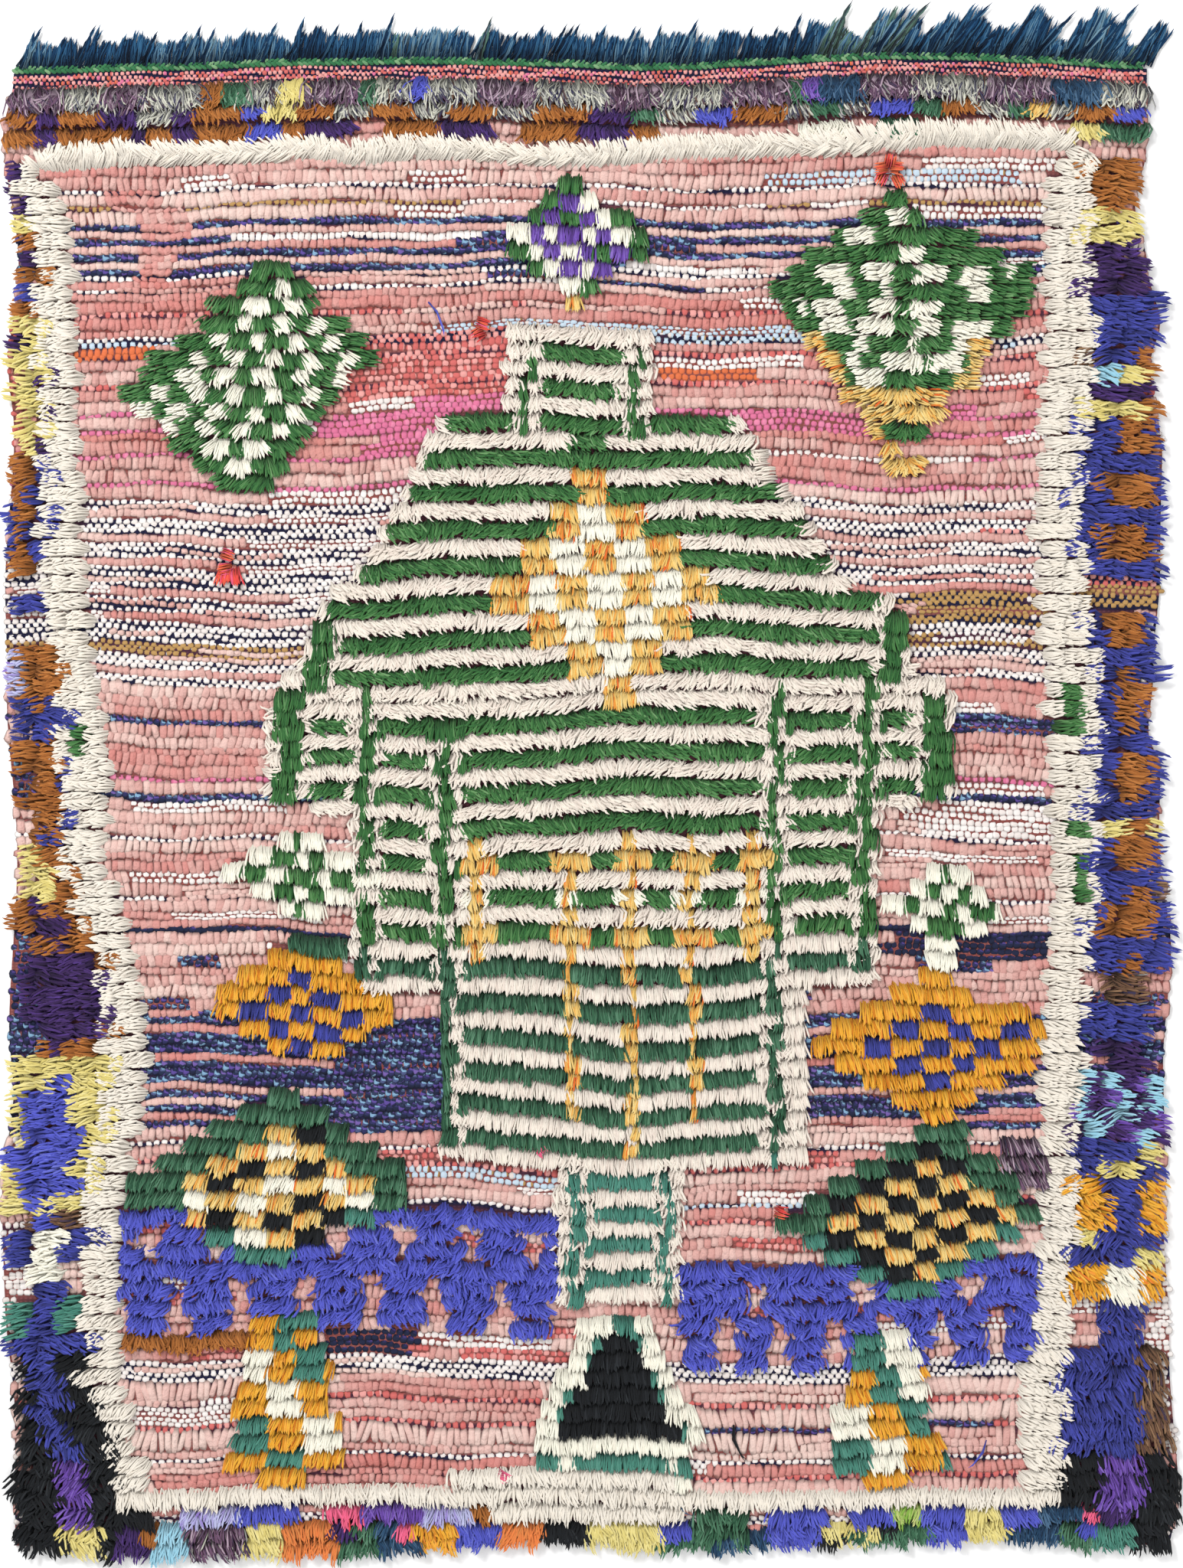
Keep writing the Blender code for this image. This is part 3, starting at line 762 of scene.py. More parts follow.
def lay_pile(chart, rng):
    """Sorts the knots by piece, each with its place, turn, size, tone and kind of tuft."""
    kinds = list(TUFTS)
    half = TUFT_VARIANTS // 2
    pieces = {}
    for (row, knot), (letter, zone) in chart.items():
        x = (knot - (KNOTS - 1) / 2) * KNOT_PITCH
        y = FIRST_ROW - row * ROW_PITCH
        px, py = to_px(x), to_py(y)
        lean, jitter, kind = lean_of(zone, letter, px, py, row)
        degrees = lean + rng.uniform(-jitter, jitter)
        turn = math.radians(degrees)
        back = ROW_PITCH * (0.5 * abs(math.cos(turn)) + 0.36 * abs(math.sin(turn)))
        if zone == "frame_top":
            back = 0
            y = read_outline(FRAME_TOP_FOOT, x)
        if row < len(TOP_ROW_DROP):
            y -= TOP_ROW_DROP[row]
        y = max(y, read_outline(BOTTOM_OUTLINE, x) + 10 * MM)
        if zone == "field" and letter == "B":
            y += rng.uniform(-5, 5) * MM
        dx, dy = (0, 0) if zone == "frame_top" else sway(x, y)
        place = (x + dx - math.sin(turn) * back + rng.uniform(-1, 1) * MM,
                 y + dy + math.cos(turn) * back + rng.uniform(-1.2, 1.2) * MM,
                 ROOT_HIGH + rng.uniform(-0.5, 0.5) * MM)
        size = tuft_size(zone, letter, kind, px, py, rng)
        other = math.sin(px / 8.5 + row * 2.7) > 0
        if kind in ("fan", "curly"):
            other = row % 6 == 2 if kind == "fan" else degrees < 0
        pick = kinds.index(kind) * TUFT_VARIANTS + half * other + rng.randrange(half)
        yarn = YARNS[letter]
        tone = yarn.tone + rng.uniform(-0.06, 0.06)
        laid = pieces.setdefault(yarn.piece, [])
        laid.append((place, (0, 0, turn), size, tone, pick))
        if zone == "frame_top":
            lift = Vector((0, 7 * MM, 2.5 * MM))
            laid.append((tuple(Vector(place) + lift), (0, 0, 2 * math.pi - turn), size, tone, pick))
    for scrap in SCRAPS:
        yarn = YARNS[scrap.yarn]
        place = (from_px(scrap.px), from_py(scrap.py), ROOT_HIGH + 2 * MM)
        size = (0.7, 0.9, 0.85) if scrap.kind == "short" else (1, 1, 1)
        pick = kinds.index(scrap.kind) * TUFT_VARIANTS + rng.randrange(TUFT_VARIANTS)
        turn = (0, 0, math.radians(scrap.degrees))
        pieces[yarn.piece].append((place, turn, size, yarn.tone, pick))
    return pieces


def put(name, data, collection=None):
    """A new object at the origin, in the scene or in a collection of kinds."""
    thing = bpy.data.objects.new(name, data)
    (collection or bpy.context.scene.collection).objects.link(thing)
    return thing


def mesh_of(form, name):
    mesh = bpy.data.meshes.new(name)
    form.to_mesh(mesh)
    form.free()
    mesh.shade_smooth()
    return mesh


def kinds_collection(name):
    collection = bpy.data.collections.new(name)
    bpy.context.scene.collection.children.link(collection)
    return collection


def marked_form():
    """An empty form and its layers for the marks that colour a yarn."""
    form = bmesh.new()
    return form, [form.verts.layers.float.new(name) for name in ("along", "side", "strand")]


def marked_point(form, layers, place, *marks):
    point = form.verts.new(place)
    for layer, mark in zip(layers, marks):
        point[layer] = mark
    return point


def add_strand(form, layers, path, thick, number):
    """Adds a tapering strand, seen from above, along a path of (point, along, width share).
    It is ridged down the middle."""
    rings = []
    for step, (place, along, width) in enumerate(path):
        forward = path[min(step + 1, len(path) - 1)][0] - path[max(step - 1, 0)][0]
        aside = forward.normalized().cross(Vector((0, 0, 1))).normalized()
        up = aside.cross(forward.normalized())
        ring = []
        for side in (0.0, 0.5, 1.0) if width else (0.5,):
            shift = aside * (1 - 2 * side) * thick * width
            lift = up * thick * width * (0.9 if side == 0.5 else -0.35)
            ring.append(marked_point(form, layers, place + shift + lift, along, side, number))
        rings.append(ring)
    for low, high in zip(rings, rings[1:]):
        for side in (0, 1):
            tip = high if len(high) == 1 else (high[side], high[side + 1])
            form.faces.new((low[side], *tip, low[side + 1]))


def add_mat(form, layers, tuft):
    """A strip of felted yarn under a tuft's strands, so that its own colour, darkened as painted
    shade, shows between them. It covers one place of the grid of knots."""
    reach = 1.04 * KNOT_PITCH * ROW_PITCH / tuft.spread
    marks = WIDE_MAT if tuft.spread > 15 * MM else NARROW_MAT
    pairs = []
    for along, rise, shade, wide in marks:
        pairs.append([marked_point(
            form, layers, (side * wide * tuft.spread / 2, -reach * along, tuft.height * rise),
            shade, 0.5 + 0.12 * side, 0.4) for side in (-1, 1)])
    for (a, b), (c, d) in zip(pairs, pairs[1:]):
        form.faces.new((a, c, d, b))


def tuft_variant(tuft, side, name, collection, rng):
    """One knot's cut yarn ends. It lies down along -Y from its root at the origin, and most
    of its strands curl to one side."""
    form, layers = marked_form()
    if tuft.strands > 2:
        add_mat(form, layers, tuft)
    for strand in range(tuft.strands):
        share = (strand + 0.5) / tuft.strands - 0.5
        x = share * tuft.spread + rng.uniform(-0.6, 0.6) * MM
        y = rng.uniform(-0.9, 0.2) * tuft.scatter
        length = tuft.length * rng.uniform(0.86, 1.08)
        turn = math.radians(tuft.curl) * side * (rng.uniform(0.45, 1) if rng.random() < 0.85 else -0.6)
        heading = math.radians(rng.uniform(-1, 1) * tuft.swing) - 0.45 * turn
        lift = tuft.height * rng.uniform(0.78, 1.05)
        plump = tuft.gather < 0
        towards = 0 if plump else round(share * 1.6) / 1.6
        clump = (towards - share) * tuft.spread * abs(tuft.gather)
        if plump:
            x *= 0.66
            y -= (2 * share) ** 2 * 4.5 * MM
            length *= 1 - 0.3 * (2 * share) ** 2
        path = []
        done = 0.0
        for station in STATIONS:
            step = station.along - done
            way = heading + turn * (done + step / 2)
            x += math.sin(way) * length * step + clump * step
            if plump and 0 < done + step < 0.5:
                x += share * tuft.spread * 0.44
            y -= math.cos(way) * length * step
            done = station.along
            path.append((Vector((x, y, lift * station.rise)), station.along, station.width))
        add_strand(form, layers, path, tuft.thick * rng.uniform(0.85, 1.15), rng.random())
    put(name, mesh_of(form, name), collection)


def tuft_collection(rng):
    collection = kinds_collection("tuft_kinds")
    for number, tuft in enumerate(TUFTS.values()):
        for variant in range(TUFT_VARIANTS):
            side = 1 if variant < TUFT_VARIANTS // 2 else -1
            tuft_variant(tuft, side, f"tuft_{number}_{variant}", collection, rng)
    return collection


def warp_lock_variant(pointed, name, collection, rng):
    """A lock of warp ends along -Y, about LOCK_LONG to its tips: cut ragged, or drawn to
    a point."""
    form, layers = marked_form()
    strands = 11 if pointed else 14
    for strand in range(strands):
        share = (strand + 0.5) / strands - 0.5
        root = share * (10 if pointed else 15) * MM
        length = rng.uniform(0.8, 1.0) * (1.25 - 0.9 * abs(share) if pointed else 1)
        drift = -root * rng.uniform(0.7, 1.0) if pointed else rng.uniform(-2, 2) * MM
        high = rng.uniform(1.5, 4.5) * MM
        path = []
        for station in STATIONS:
            x = root + drift * station.along ** 1.5 + 1.8 * MM * math.sin(5 * station.along + strand)
            place = Vector((x, -length * LOCK_LONG * station.along, high * (1 - 0.6 * station.along)))
            path.append((place, station.along, station.width))
        add_strand(form, layers, path, 1.1 * MM, rng.random())
    put(name, mesh_of(form, name), collection)


def bead_variant(name, collection, fine, rng):
    """A weft's bulge over a warp, one unit wide and long and open below: a cushion on an
    eight-sided foot, with a ridge for its top where the weft is fine."""
    form, layers = marked_form()

    # along runs from 0 at a bead's feet to 1 at its crown, so the yarn's root shade darkens the feet:
    # painted shade round each bead
    def add_point(x, y, z, along):
        if not fine:
            x, y, z = (x + rng.uniform(-0.08, 0.08), y + rng.uniform(-0.1, 0.1),
                       z * rng.uniform(0.7, 1.2))
        return marked_point(form, layers, (x, y, z), along, 0.5 + x, 0.5 + y * 0.5 + x * y)

    if fine:
        ridge = [add_point(x, 0, 0.5, 1.0) for x in (0.24, -0.24)]
        feet = [add_point(x, y, 0, 0.0) for x, y in (
            (0.5, -0.2), (0.5, 0.2), (0.27, 0.5), (-0.27, 0.5),
            (-0.5, 0.2), (-0.5, -0.2), (-0.27, -0.5), (0.27, -0.5))]
        for number in range(8):
            # feet 3 to 6 stand round the ridge's second end, and the others round its first
            near, far = (ridge[int(3 <= foot % 8 <= 6)] for foot in (number, number + 1))
            corners = [feet[number], feet[(number + 1) % 8], far]
            form.faces.new(corners if near is far else corners + [near])
    else:
        feet, shoulders = [], []
        for quarter in range(4):
            turn = Matrix.Rotation(quarter * math.pi / 2, 3, "Z")
            for x, y in ((0.5, 0.29), (0.29, 0.5)):
                feet.append(add_point(*(turn @ Vector((x, y, 0))), 0.0))
            shoulders.append(add_point(*(turn @ Vector((0.27, 0.27, 0.42))), 0.8))
        crown = add_point(0.0, 0.0, 0.54, 1.0)
        for quarter, shoulder in enumerate(shoulders):
            after = shoulders[(quarter + 1) % 4]
            first, second = feet[2 * quarter:2 * quarter + 2]
            form.faces.new((first, second, shoulder))
            form.faces.new((second, feet[(2 * quarter + 2) % 8], after, shoulder))
            form.faces.new((shoulder, after, crown))
    put(name, mesh_of(form, name), collection)


def give(tree, node, values):
    """Sets a node's sockets: each to a value, an output of another node, or its first output."""
    for socket, value in values.items():
        if isinstance(value, bpy.types.Node):
            value = value.outputs[0]
        if isinstance(value, bpy.types.NodeSocket):
            tree.links.new(value, node.inputs[socket])
        else:
            node.inputs[socket].default_value = value


def add_node(tree, kind, values=None, **settings):
    made = tree.nodes.new(kind)
    for name, value in settings.items():
        setattr(made, name, value)
    give(tree, made, values or {})
    return made


def new_group(name, kind, inputs, outputs):
    """A node group with its sockets, as (name, kind) or (name, kind, value), and what it is given."""
    group = bpy.data.node_groups.new(name, kind)
    for way, sockets in (("INPUT", inputs), ("OUTPUT", outputs)):
        for label, holds, *value in sockets:
            socket = group.interface.new_socket(
                name=label, in_out=way, socket_type="NodeSocket" + holds)
            if value:
                socket.default_value = value[0]
    return group, add_node(group, "NodeGroupInput").outputs


def socket_of(tree, name):
    """A modifier's input is set by its socket's identifier."""
    for item in tree.interface.items_tree:
        if item.item_type == "SOCKET" and item.in_out == "INPUT" and item.name == name:
            return item.identifier
    raise KeyError(name)


def laid_yarn_tree():
    """Geometry Nodes: sets a tuft or bead on each point, joins them and ruffles them."""
    tree, given = new_group("laid_yarn", "GeometryNodeTree", (
        ("Knots", "Geometry"), ("Tufts", "Collection"), ("Yarn", "Material"),
        ("Ruffle", "Float", 1.5 * MM), ("Ruffle Scale", "Float", 70.0), ("Seed", "Float", 3.0),
    ), (("Pile", "Geometry"),))

    def named(name, kind):
        node = add_node(tree, "GeometryNodeInputNamedAttribute", {"Name": name}, data_type=kind)
        return node.outputs["Attribute"]

    kinds = add_node(tree, "GeometryNodeCollectionInfo", {
        "Collection": given["Tufts"], "Separate Children": True, "Reset Children": True})
    turn = add_node(tree, "FunctionNodeEulerToRotation", {"Euler": named("turn", "FLOAT_VECTOR")})
    lay = add_node(tree, "GeometryNodeInstanceOnPoints", {
        "Points": given["Knots"], "Pick Instance": True, "Instance": kinds,
        "Instance Index": named("pick", "INT"), "Rotation": turn,
        "Scale": named("size", "FLOAT_VECTOR")})
    join = add_node(tree, "GeometryNodeRealizeInstances", {"Geometry": lay})
    noise = add_node(tree, "ShaderNodeTexNoise", {
        "Vector": add_node(tree, "GeometryNodeInputPosition"), "Scale": given["Ruffle Scale"],
        "W": given["Seed"], "Detail": 1.0}, noise_dimensions="4D")
    centred = add_node(tree, "ShaderNodeVectorMath", {
        0: noise.outputs["Color"], 1: (0.5, 0.5, 0.5)}, operation="SUBTRACT")
    amount = add_node(tree, "ShaderNodeMath", {
        0: given["Ruffle"], 1: named("along", "FLOAT")}, operation="MULTIPLY")
    push = add_node(tree, "ShaderNodeVectorMath", {0: centred, "Scale": amount}, operation="SCALE")
    ruffle = add_node(tree, "GeometryNodeSetPosition", {"Geometry": join, "Offset": push})
    dyed = add_node(tree, "GeometryNodeSetMaterial", {"Geometry": ruffle, "Material": given["Yarn"]})
    add_node(tree, "NodeGroupOutput", {"Pile": dyed})
    return tree


def attribute(mesh, name, kind, values):
    found = mesh.attributes.new(name, kind, "POINT")
    key = "vector" if kind == "FLOAT_VECTOR" else "value"
    found.data.foreach_set(key, np.asarray(values, np.float32 if kind != "INT" else np.int32).ravel())


def read_attribute(mesh, name):
    found = np.zeros(len(mesh.vertices), np.float32)
    mesh.attributes[name].data.foreach_get("value", found)
    return found


def lay_yarn_map(mesh, spread, rim):
    """A UV map with the yarn's tone across and root to tip upwards, so that places with one
    colour share one spot of it. A strand's rims are set nearer its root on the map, so that they take
    the painted root shade: painted shade between the strands."""
    side = read_attribute(mesh, "side") - 0.5
    tone = read_attribute(mesh, "tone") + (read_attribute(mesh, "strand") - 0.5) * spread
    tone = tone + side * 0.05
    # painted shade between strands: a rim counts as nearer the root, where the painted shade is
    along = read_attribute(mesh, "along") - rim * 2 * np.abs(side)
    corners = np.empty(len(mesh.loops), np.int32)
    mesh.loops.foreach_get("vertex_index", corners)
    places = np.stack([np.clip(tone, 0.02, 0.98), 0.03 + 0.94 * np.clip(along, 0, 1)], 1)
    layer = mesh.uv_layers.new(name="OFBake")
    layer.uv.foreach_set("vector", places[corners].astype(np.float32).ravel())


def lay_yarn(name, knots, collection, tree, material, spread, ruffle, rim=0.0):
    """Makes one piece out of knots, which are (place, turn, size, tone, pick) each."""
    places, turns, sizes, tones, picks = zip(*knots)
    seeds = bpy.data.meshes.new(name + "_knots")
    seeds.vertices.add(len(knots))
    seeds.vertices.foreach_set("co", np.asarray(places, np.float32).ravel())
    attribute(seeds, "turn", "FLOAT_VECTOR", turns)
    attribute(seeds, "size", "FLOAT_VECTOR", sizes)
    attribute(seeds, "tone", "FLOAT", tones)
    attribute(seeds, "pick", "INT", picks)
    holder = put(name + "_knots", seeds)
    modifier = holder.modifiers.new("laid_yarn", "NODES")
    modifier.node_group = tree
    for socket, value in (("Tufts", collection), ("Yarn", material), ("Ruffle", ruffle)):
        modifier[socket_of(tree, socket)] = value
    mesh = bpy.data.meshes.new_from_object(
        holder.evaluated_get(bpy.context.evaluated_depsgraph_get())
    )
    bpy.data.objects.remove(holder, do_unlink=True)
    bpy.data.meshes.remove(seeds)
    mesh.name = name
    lay_yarn_map(mesh, spread, rim)
    for extra in ("turn", "size", "tone", "pick", "along", "side", "strand"):
        if extra in mesh.attributes:
            mesh.attributes.remove(mesh.attributes[extra])
    return put(name, mesh)


def shaded(tree, colour, shade):
    """A colour multiplied by a shade."""
    tint = add_node(tree, "ShaderNodeMix", {"Factor": 1.0, 6: colour, 7: shade},
                    data_type="RGBA", blend_type="MULTIPLY")
    return tint.outputs[2]


def spun_yarn_group():
    """Shader group: paints shade on a yarn, darkest at its root and fading towards its tip, and gives
    its twist a height.
    """
    group, given = new_group("spun_yarn", "ShaderNodeTree", (
        ("Dye", "Color"), ("Place", "Vector"), ("Root Shade", "Float"), ("Root Reach", "Float"),
        ("Fleck", "Float"), ("Turns", "Float"),
    ), (("Colour", "Color"), ("Height", "Float")))
    along = add_node(group, "ShaderNodeSeparateXYZ", {0: given["Place"]}).outputs["Y"]
    fleck = add_node(group, "ShaderNodeTexNoise", {
        "Vector": given["Place"], "Scale": 38.0, "Detail": 2.0})
    # painted shade: darkest at the root, full colour from Root Reach up
    lift = add_node(group, "ShaderNodeMapRange", {
        "Value": along, "From Max": given["Root Reach"], "To Min": given["Root Shade"],
    }, interpolation_type="SMOOTHSTEP")
    grain = add_node(group, "ShaderNodeMapRange", {
        "Value": fleck, "From Min": 0.3, "From Max": 0.7, "To Min": given["Fleck"]})
    shade = add_node(group, "ShaderNodeMath", {0: lift, 1: grain}, operation="MULTIPLY")
    turns = add_node(group, "ShaderNodeMath", {0: along, 1: given["Turns"]}, operation="MULTIPLY")
    ply = add_node(group, "ShaderNodeMath", {0: turns, 1: 1.0}, operation="PINGPONG")
    add_node(group, "NodeGroupOutput", {
        "Colour": shaded(group, given["Dye"], shade), "Height": ply})
    return group


def linear(channel):
    channel = channel / 255
    return channel / 12.92 if channel <= 0.04045 else ((channel + 0.055) / 1.055) ** 2.4


def dye_ramp(tree, place, tones, stepped=False):
    """A ramp through tones, which are written as a place and an sRGB colour up to 255 each."""
    ramp = add_node(tree, "ShaderNodeValToRGB", {"Fac": place})
    if stepped:
        ramp.color_ramp.interpolation = "CONSTANT"
    stops = ramp.color_ramp.elements
    tones = rows(Tone, tones)
    while len(stops) < len(tones):
        stops.new(0.5)
    for stop, (position, *colour) in zip(stops, tones):
        stop.position = position
        stop.color = (*map(linear, colour), 1.0)
    return ramp


def new_material(name):
    material = bpy.data.materials.new(name)
    material.use_nodes = True
    tree = material.node_tree
    return material, tree, tree.nodes["Principled BSDF"]


def yarn_material(name, tones, group, root=0.55, reach=0.3, turns=14.0, sheen=0.16,
                  stepped=False, crumple=0.0):
    """A yarn whose tones run across its map and whose length runs up it, with painted shade towards
    its root: root is how dark, reach how far.
    """
    material, tree, shader = new_material(name)
    places = add_node(tree, "ShaderNodeUVMap", uv_map="OFBake")
    across = add_node(tree, "ShaderNodeSeparateXYZ", {0: places})
    spun = add_node(tree, "ShaderNodeGroup", node_tree=group)
    give(tree, spun, {
        "Dye": dye_ramp(tree, across, tones, stepped), "Place": places, "Root Shade": root,
        "Root Reach": reach, "Fleck": 0.8, "Turns": turns})
    bump = add_node(tree, "ShaderNodeBump", {
        "Strength": 0.25, "Distance": 0.3 * MM, "Height": spun.outputs["Height"]})
    give(tree, shader, {
        "Base Color": spun.outputs["Colour"], "Normal": bump, "Roughness": 0.92,
        "Sheen Weight": sheen, "Sheen Roughness": 0.5, "Specular IOR Level": 0.2})
    if crumple:
        folds = add_node(tree, "ShaderNodeTexNoise", {
            "Vector": add_node(tree, "ShaderNodeTexCoord").outputs["Object"],
            "Scale": 190.0, "Detail": 3.0})
        give(tree, bump, {"Normal": add_node(tree, "ShaderNodeBump", {
            "Strength": crumple, "Distance": 3.0 * MM, "Height": folds})})
    return material


def pick_at(letter, px, py):
    for patch in PATCHES:
        wobble = min(0.16 * (patch.right - patch.left), 40) * math.sin(py * 0.61)
        if patch.left + wobble <= px <= patch.right + wobble and patch.top <= py <= patch.bottom:
            return patch.pick
    return letter


def pick_courses():
    """The wefts from the fringed end down: (letter, py of its middle, guests, number)."""
    courses = []
    py = FIRST_PICK_PY
    band = turn = 0
    while py < LAST_PICK_PY:
        if py >= PICK_ORDER[band].until:
            band, turn = band + 1, 0
        order = PICK_ORDER[band].order
        letter = order[turn % len(order)]
        height = PICKS[letter].height
        courses.append((letter, py + height / 2, PICK_ORDER[band].guests, len(courses)))
        py += height
        turn += 1
    return courses


def under_pile(chart, px, py):
    """True where the pile hides the weave, with a knot's width to spare. The frame's top
    band doesn't count, because it is rooted on a line of its own."""
    if py < STRIP_END_PY:
        return False
    row = round((FIRST_ROW - from_py(py)) / ROW_PITCH)
    knot = round(from_px(px) / KNOT_PITCH + (KNOTS - 1) / 2)
    near = [chart.get((row, knot + step)) for step in (-1, 0, 1)]
    return all(near) and near[1][1] != "frame_top"


def guest_runs(guests, left, right, rng):
    """Stretches of a pick where another yarn takes over: (from px, to px, letter)."""
    runs = []
    for _ in range(rng.choice((0, 1, 1, 2, 2, 3)) if guests else 0):
        start = rng.uniform(left - 60, right - 60)
        runs.append((start, start + rng.uniform(50, 330), rng.choice(guests)))
    return runs


def bead_of(letter, px, py, height, rng):
    """One bead of weft: (piece, knot)."""
    spec = PICKS[letter]
    x, y = from_px(px), from_py(py)
    dx, dy = sway(x, y)
    rag = spec.piece == "rag_weft"
    loose = (0.9 if rag else 0.4) * MM
    place = (x + dx + rng.uniform(-1, 1) * loose, y + dy + rng.uniform(-1, 1) * loose * 0.7,
             CLOTH_LOW + rng.uniform(0.1, 0.9) * MM)
    swell = 1 + 0.1 * math.sin(px / 63 + py / 29) + rng.uniform(-0.1, 0.1)
    thick = 1.04 + 0.12 * math.sin(px / 41 - py / 7) + rng.uniform(-0.1, 0.1)
    lap = 1.12 if rag else 1.18
    size = (spec.width * PX * swell * (lap if rag else 1.04), height * PX * thick * lap,
            spec.rise * 2 * MM * rng.uniform(0.8, 1.2))
    twist = 0.9 if letter == "c" else 0.2
    slant = 0.24 * math.sin(px / 47 + py * 1.3) * rag
    tilt = 0.16 * min(1, 11 / height)
    turn = (rng.uniform(-tilt, tilt), rng.uniform(-tilt, tilt), slant + rng.uniform(-twist, twist))
    slow = 0.09 * (math.sin(px / 140 + py / 31) + math.sin(py / 11 - px / 260)) * rag
    tone = clamp(spec.tone + slow + rng.uniform(-spec.spread, spec.spread), 0.02, 0.98)
    return spec.piece, (place, turn, size, tone, rng.randint(1, RAG_BEADS) if rag else 0)


def lay_wefts(courses, chart, rng):
    """A bead of weft for each warp that a pick passes over, where no pile hides it."""
    pieces = {}
    for letter, py, guests, number in courses:
        base = PICKS[letter]
        left, right = map(to_px, sides_at(from_py(py), 0))
        left, right = left + 4, right - 4
        runs = guest_runs(guests, left, right, rng)
        px = left - base.pitch * (0.5 if number % 2 else 1.0)
        while px < right:
            px += base.pitch
            low = read_outline(BOTTOM_OUTLINE, from_px(px)) + 9 * MM
            if px > right or from_py(py) < low or under_pile(chart, px, py):
                continue
            here = letter
            for start, end, guest in runs:
                here = guest if start < px < end else here
            here = pick_at(here, px, py)
            layers = max(1, round(base.height / PICKS[here].height))
            for layer in range(layers):
                low = py + ((layer + 0.5) / layers - 0.5) * base.height
                low += 1.3 * math.sin(px / 37 + number * 2.1) + 0.8 * math.sin(px / 11 + number)
                aside = base.pitch / 2 if layer % 2 else 0
                piece, bead = bead_of(here, px + aside, low, base.height / layers, rng)
                pieces.setdefault(piece, []).append(bead)
    return pieces


def make_ground(courses, chart, material):
    """The woven ground: a thin closed sheet, flat below, whose top is ribbed pick by pick."""
    form = bmesh.new()
    under = form.verts.layers.float.new("under")
    lines = [(to_py(BODY_TOP), PICKS[courses[0][0]].under, CLOTH_LOW)]
    for letter, py, _, _ in courses:
        spec = PICKS[letter]
        lines.append((py, spec.under, CLOTH_HIGH - 0.4 * MM))
        lines.append((py + spec.height / 2, spec.under, CLOTH_LOW))
    grid = []
    for py, tint, z in lines:
        y = from_py(py)
        line = []
        left, right = sides_at(y, 2 * MM)
        for column in range(GROUND_COLUMNS + 1):
            x = left + (right - left) * column / GROUND_COLUMNS
            low = read_outline(BOTTOM_OUTLINE, x) + 3 * MM
            dx, dy = sway(x, y)
            point = form.verts.new((x + dx, max(y + dy, low + (y + 0.97) * 0.02), z))
            # under the pile the ground takes a dark maroon, painted shade for the gaps between tufts
            point[under] = 0.4 if under_pile(chart, to_px(x), py) else tint
            line.append(point)
        grid.append(line)
    for upper, lower in zip(grid, grid[1:]):
        for column in range(GROUND_COLUMNS):
            form.faces.new((upper[column], lower[column], lower[column + 1], upper[column + 1]))
    rim = grid[0] + [line[-1] for line in grid[1:-1]] + grid[-1][::-1]
    rim += [line[0] for line in grid[-2:0:-1]]
    feet = []
    for point in rim:
        feet.append(form.verts.new((point.co.x, point.co.y, 0.0)))
        feet[-1][under] = point[under]
    for number, foot in enumerate(feet):
        form.faces.new((rim[number - 1], rim[number], foot, feet[number - 1]))
    form.faces.new(feet)
    bmesh.ops.recalc_face_normals(form, faces=form.faces)
    mesh = mesh_of(form, "ground_cloth")
    mesh.set_sharp_from_angle(angle=math.radians(50))
    mesh.materials.append(material)
    return put("ground_cloth", mesh)


def ground_material():
    """Navy warp, with darker tones of the wefts' colour under the rags and maroon under the pile as
    painted shade in the gaps, and a fine plain weave.
    """
    material, tree, shader = new_material("woven_ground")
    under = add_node(tree, "ShaderNodeAttribute", attribute_name="under").outputs["Fac"]
    place = add_node(tree, "ShaderNodeTexCoord").outputs["Object"]
    warp, weft = (add_node(tree, "ShaderNodeTexWave", {
        "Vector": place, "Scale": scale, "Distortion": 1.2,
    }, bands_direction=direction).outputs["Fac"] for direction, scale in (("X", 55.0), ("Y", 80.0)))
    weave = add_node(tree, "ShaderNodeMath", {0: warp, 1: weft}, operation="MULTIPLY")
    shade = add_node(tree, "ShaderNodeMapRange", {"Value": weave, "To Min": 0.6})
    bump = add_node(tree, "ShaderNodeBump", {
        "Strength": 0.6, "Distance": 0.6 * MM, "Height": weave})
    give(tree, shader, {
        "Base Color": shaded(tree, dye_ramp(tree, under, GROUND_TONES).outputs[0], shade),
        "Normal": bump, "Roughness": 0.95, "Specular IOR Level": 0.15})
    return material


def fringe_knots(rng):
    """Where each lock of warp ends stands: a mat of ragged ones, with pointed ones leaning
    out of it. They are short and even on the left, and tall and clumped on the right."""
    knots = []
    left, right = sides_at(BODY_TOP, 7 * MM)
    for number in range(WARP_LOCKS):
        x = left + (right - left) * number / (WARP_LOCKS - 1) + rng.uniform(-3, 3) * MM
        wild = clamp((x - WILD_FRINGE) / 0.08, 0, 1)
        clump = 0.5 + 0.5 * math.sin(x / 0.0135)
        pointed = number % 5 == 1 or rng.random() < 0.08
        long = rng.uniform(1.0, 1.4) if pointed else rng.uniform(0.94, 1.2)
        long *= 1 + wild * (0.95 * clump - 0.42) + (1 - wild) * (0.08 * math.sin(x / 0.0117) - 0.2)
        long = min(long, (1.5 if pointed else 1.66) + 0.1 * math.sin(2.3 * number))
        lean = -(22 if pointed else 12) - 14 * wild + rng.uniform(-8, 8)
        tone = 0.3 + 0.1 * math.sin(x * 23) + rng.uniform(-0.08, 0.08)
        if rng.random() < 0.012:
            tone = 0.95
        if DARK_LOCKS[0] < x < DARK_LOCKS[1] and rng.random() < 0.6:
            tone = 0.84
        place = (x, read_outline(TOP_OUTLINE, x) + 6 * MM, (0.8 + 2.0 * pointed) * MM)
        size = (rng.uniform(0.9, 1.15) * (1 + 0.2 * wild), long, rng.uniform(0.9, 1.2))
        pick = rng.randrange(LOCK_VARIANTS) + LOCK_VARIANTS * pointed
        knots.append((place, (0, 0, math.radians(180 + lean)), size, clamp(tone, 0.02, 0.98), pick))
    return knots


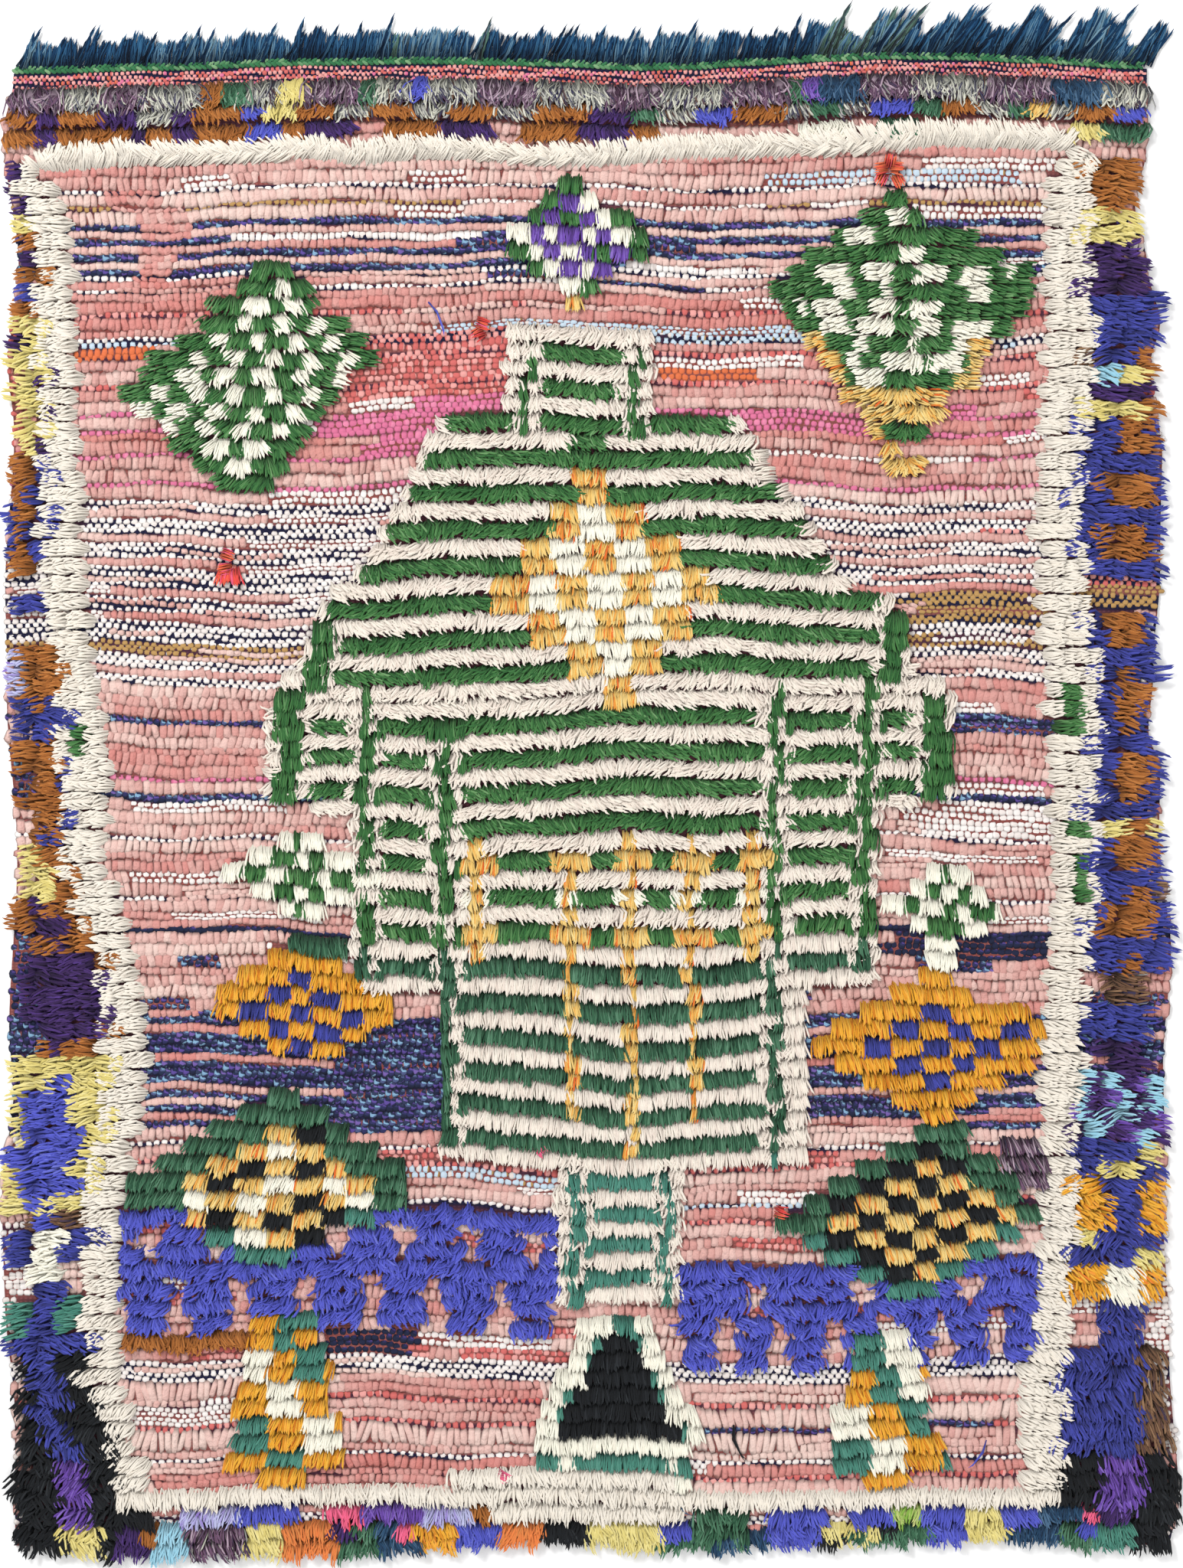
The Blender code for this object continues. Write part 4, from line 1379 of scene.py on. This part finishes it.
def heading_knots(rng):
    """The twined line at the fringe's root, as two rows of slanting turns."""
    knots = []
    left, right = sides_at(BODY_TOP, 4 * MM)
    for row in range(2):
        for number in range(HEADING_TURNS):
            x = left + (right - left) * (number + 0.5 * row) / HEADING_TURNS
            place = (x, read_outline(TOP_OUTLINE, x) + (2.2 + 4.2 * row) * MM, 4.0 * MM)
            slant = math.radians(32 if row else -32) + rng.uniform(-0.1, 0.1)
            size = (9.4 * MM, 4.4 * MM, 5.6 * MM)
            knots.append((place, (0, 0, slant), size, rng.uniform(0.1, 0.95), 0))
    return knots


def make_camera():
    data = bpy.data.cameras.new("above")
    data.sensor_width = SENSOR
    data.lens = SENSOR * CAMERA_HIGH / (PHOTO[1] * PX)
    camera = put("above", data)
    camera.location = (from_px(PHOTO[0] / 2), from_py(PHOTO[1] / 2), CAMERA_HIGH)
    bpy.context.scene.camera = camera


def add_light(name, place, size, watts):
    data = bpy.data.lights.new(name, "AREA")
    data.size = size
    data.energy = watts
    light = put(name, data)
    light.location = place
    light.rotation_euler = (-Vector(place)).to_track_quat("-Z", "Y").to_euler()


def make_studio():
    world = bpy.data.worlds.new("studio")
    world.use_nodes = True
    give(world.node_tree, world.node_tree.nodes["Background"], {
        "Color": (1, 1, 1, 1), "Strength": 0.68})
    bpy.context.scene.world = world
    add_light("window", (-3.4, 3.8, 5.0), 2.2, 400)
    add_light("fill", (3.6, -2.4, 5.0), 4.0, 120)
    bpy.context.scene.view_settings.view_transform = "Standard"
    form = bmesh.new()
    bmesh.ops.create_grid(form, x_segments=4, y_segments=4, size=6)
    floor = put("floor", mesh_of(form, "floor"))
    material, tree, shader = new_material("pale_floor")
    give(tree, shader, {"Base Color": (0.97, 0.97, 0.97, 1), "Roughness": 0.9})
    floor.data.materials.append(material)
    floor.location = (0, 0, -0.001)


def make_pile(chart, tree, group, tufts, rng):
    """Lays the knotted pile, one piece for each range of tones."""
    for name, knots in sorted(lay_pile(chart, rng).items()):
        # root sets how dark the painted shade at the strands' roots is
        material = yarn_material(name + "_yarn", PILE_TONES[name], group,
                                 root=ROOT_SHADES.get(name, 0.42), reach=0.55)
        spread = 0.36 if name in ("pile_marl", "pile_gold") else 0.26
        # rim darkens each strand's edges as painted shade between the strands, less on the creams
        rim = {"pile_cream_frame": 0.24, "pile_cream_field": 0.32}.get(name, 0.45)
        piece = lay_yarn(name, knots, tufts, tree, material, spread, 3.0 * MM, rim=rim)
        yield piece


def make_wefts(courses, chart, tree, group, beads, rng):
    """Lays the wefts, one piece each for the rags, the fine cottons and the tweed."""
    for name, knots in sorted(lay_wefts(courses, chart, rng).items()):
        rag = name == "rag_weft"
        # painted shade round each bead's foot: root is how dark, reach how far up
        root, reach = (0.5, 0.62) if name == "fine_weft" else (0.34, 0.75)
        material = yarn_material(name + "_yarn", WEFT_TONES[name], group, root=root, reach=reach,
                                 turns=3.0, sheen=0.1, stepped=not rag, crumple=1.0 if rag else 0.2)
        spread = 0.6 if name == "tweed_weft" else 0.0
        piece = lay_yarn(name, knots, beads, tree, material, spread, 0.9 * MM)
        yield piece


def main():
    rng = random.Random(SEED)
    make_camera()
    make_studio()
    chart = knot_chart()
    courses = pick_courses()
    tree = laid_yarn_tree()
    group = spun_yarn_group()
    ground = make_ground(courses, chart, ground_material())
    tufts = tuft_collection(rng)
    pieces = list(make_pile(chart, tree, group, tufts, rng))
    beads = kinds_collection("bead_kinds")
    for number in range(RAG_BEADS + 1):
        bead_variant(f"bead_{number}", beads, number == 0, rng)
    pieces += make_wefts(courses, chart, tree, group, beads, rng)
    locks = kinds_collection("lock_kinds")
    for variant in range(2 * LOCK_VARIANTS):
        warp_lock_variant(variant >= LOCK_VARIANTS, f"lock_{variant}", locks, rng)
    # The fringe and the heading take painted shade at their roots too, and the fringe on its strands'
    # rims
    navy = yarn_material("warp_yarn", WARP_TONES, group, root=0.24, reach=0.6, sheen=0.06)
    fringe = lay_yarn("warp_fringe", fringe_knots(rng), locks, tree, navy, 0.6, 2.5 * MM, rim=0.5)
    green = yarn_material("heading_yarn", HEADING_TONES, group, root=0.5, turns=3.0)
    heading = lay_yarn("twined_heading", heading_knots(rng), beads, tree, green, 0.0, 0.3 * MM)
    pieces += [fringe, heading]
    for collection in (tufts, beads, locks):
        for thing in list(collection.objects):
            bpy.data.objects.remove(thing, do_unlink=True)
        bpy.data.collections.remove(collection)
    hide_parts("rug")
    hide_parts("fringe_top")
    for piece in [ground] + pieces:
        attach(piece, "root")
    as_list(pieces)


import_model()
main()
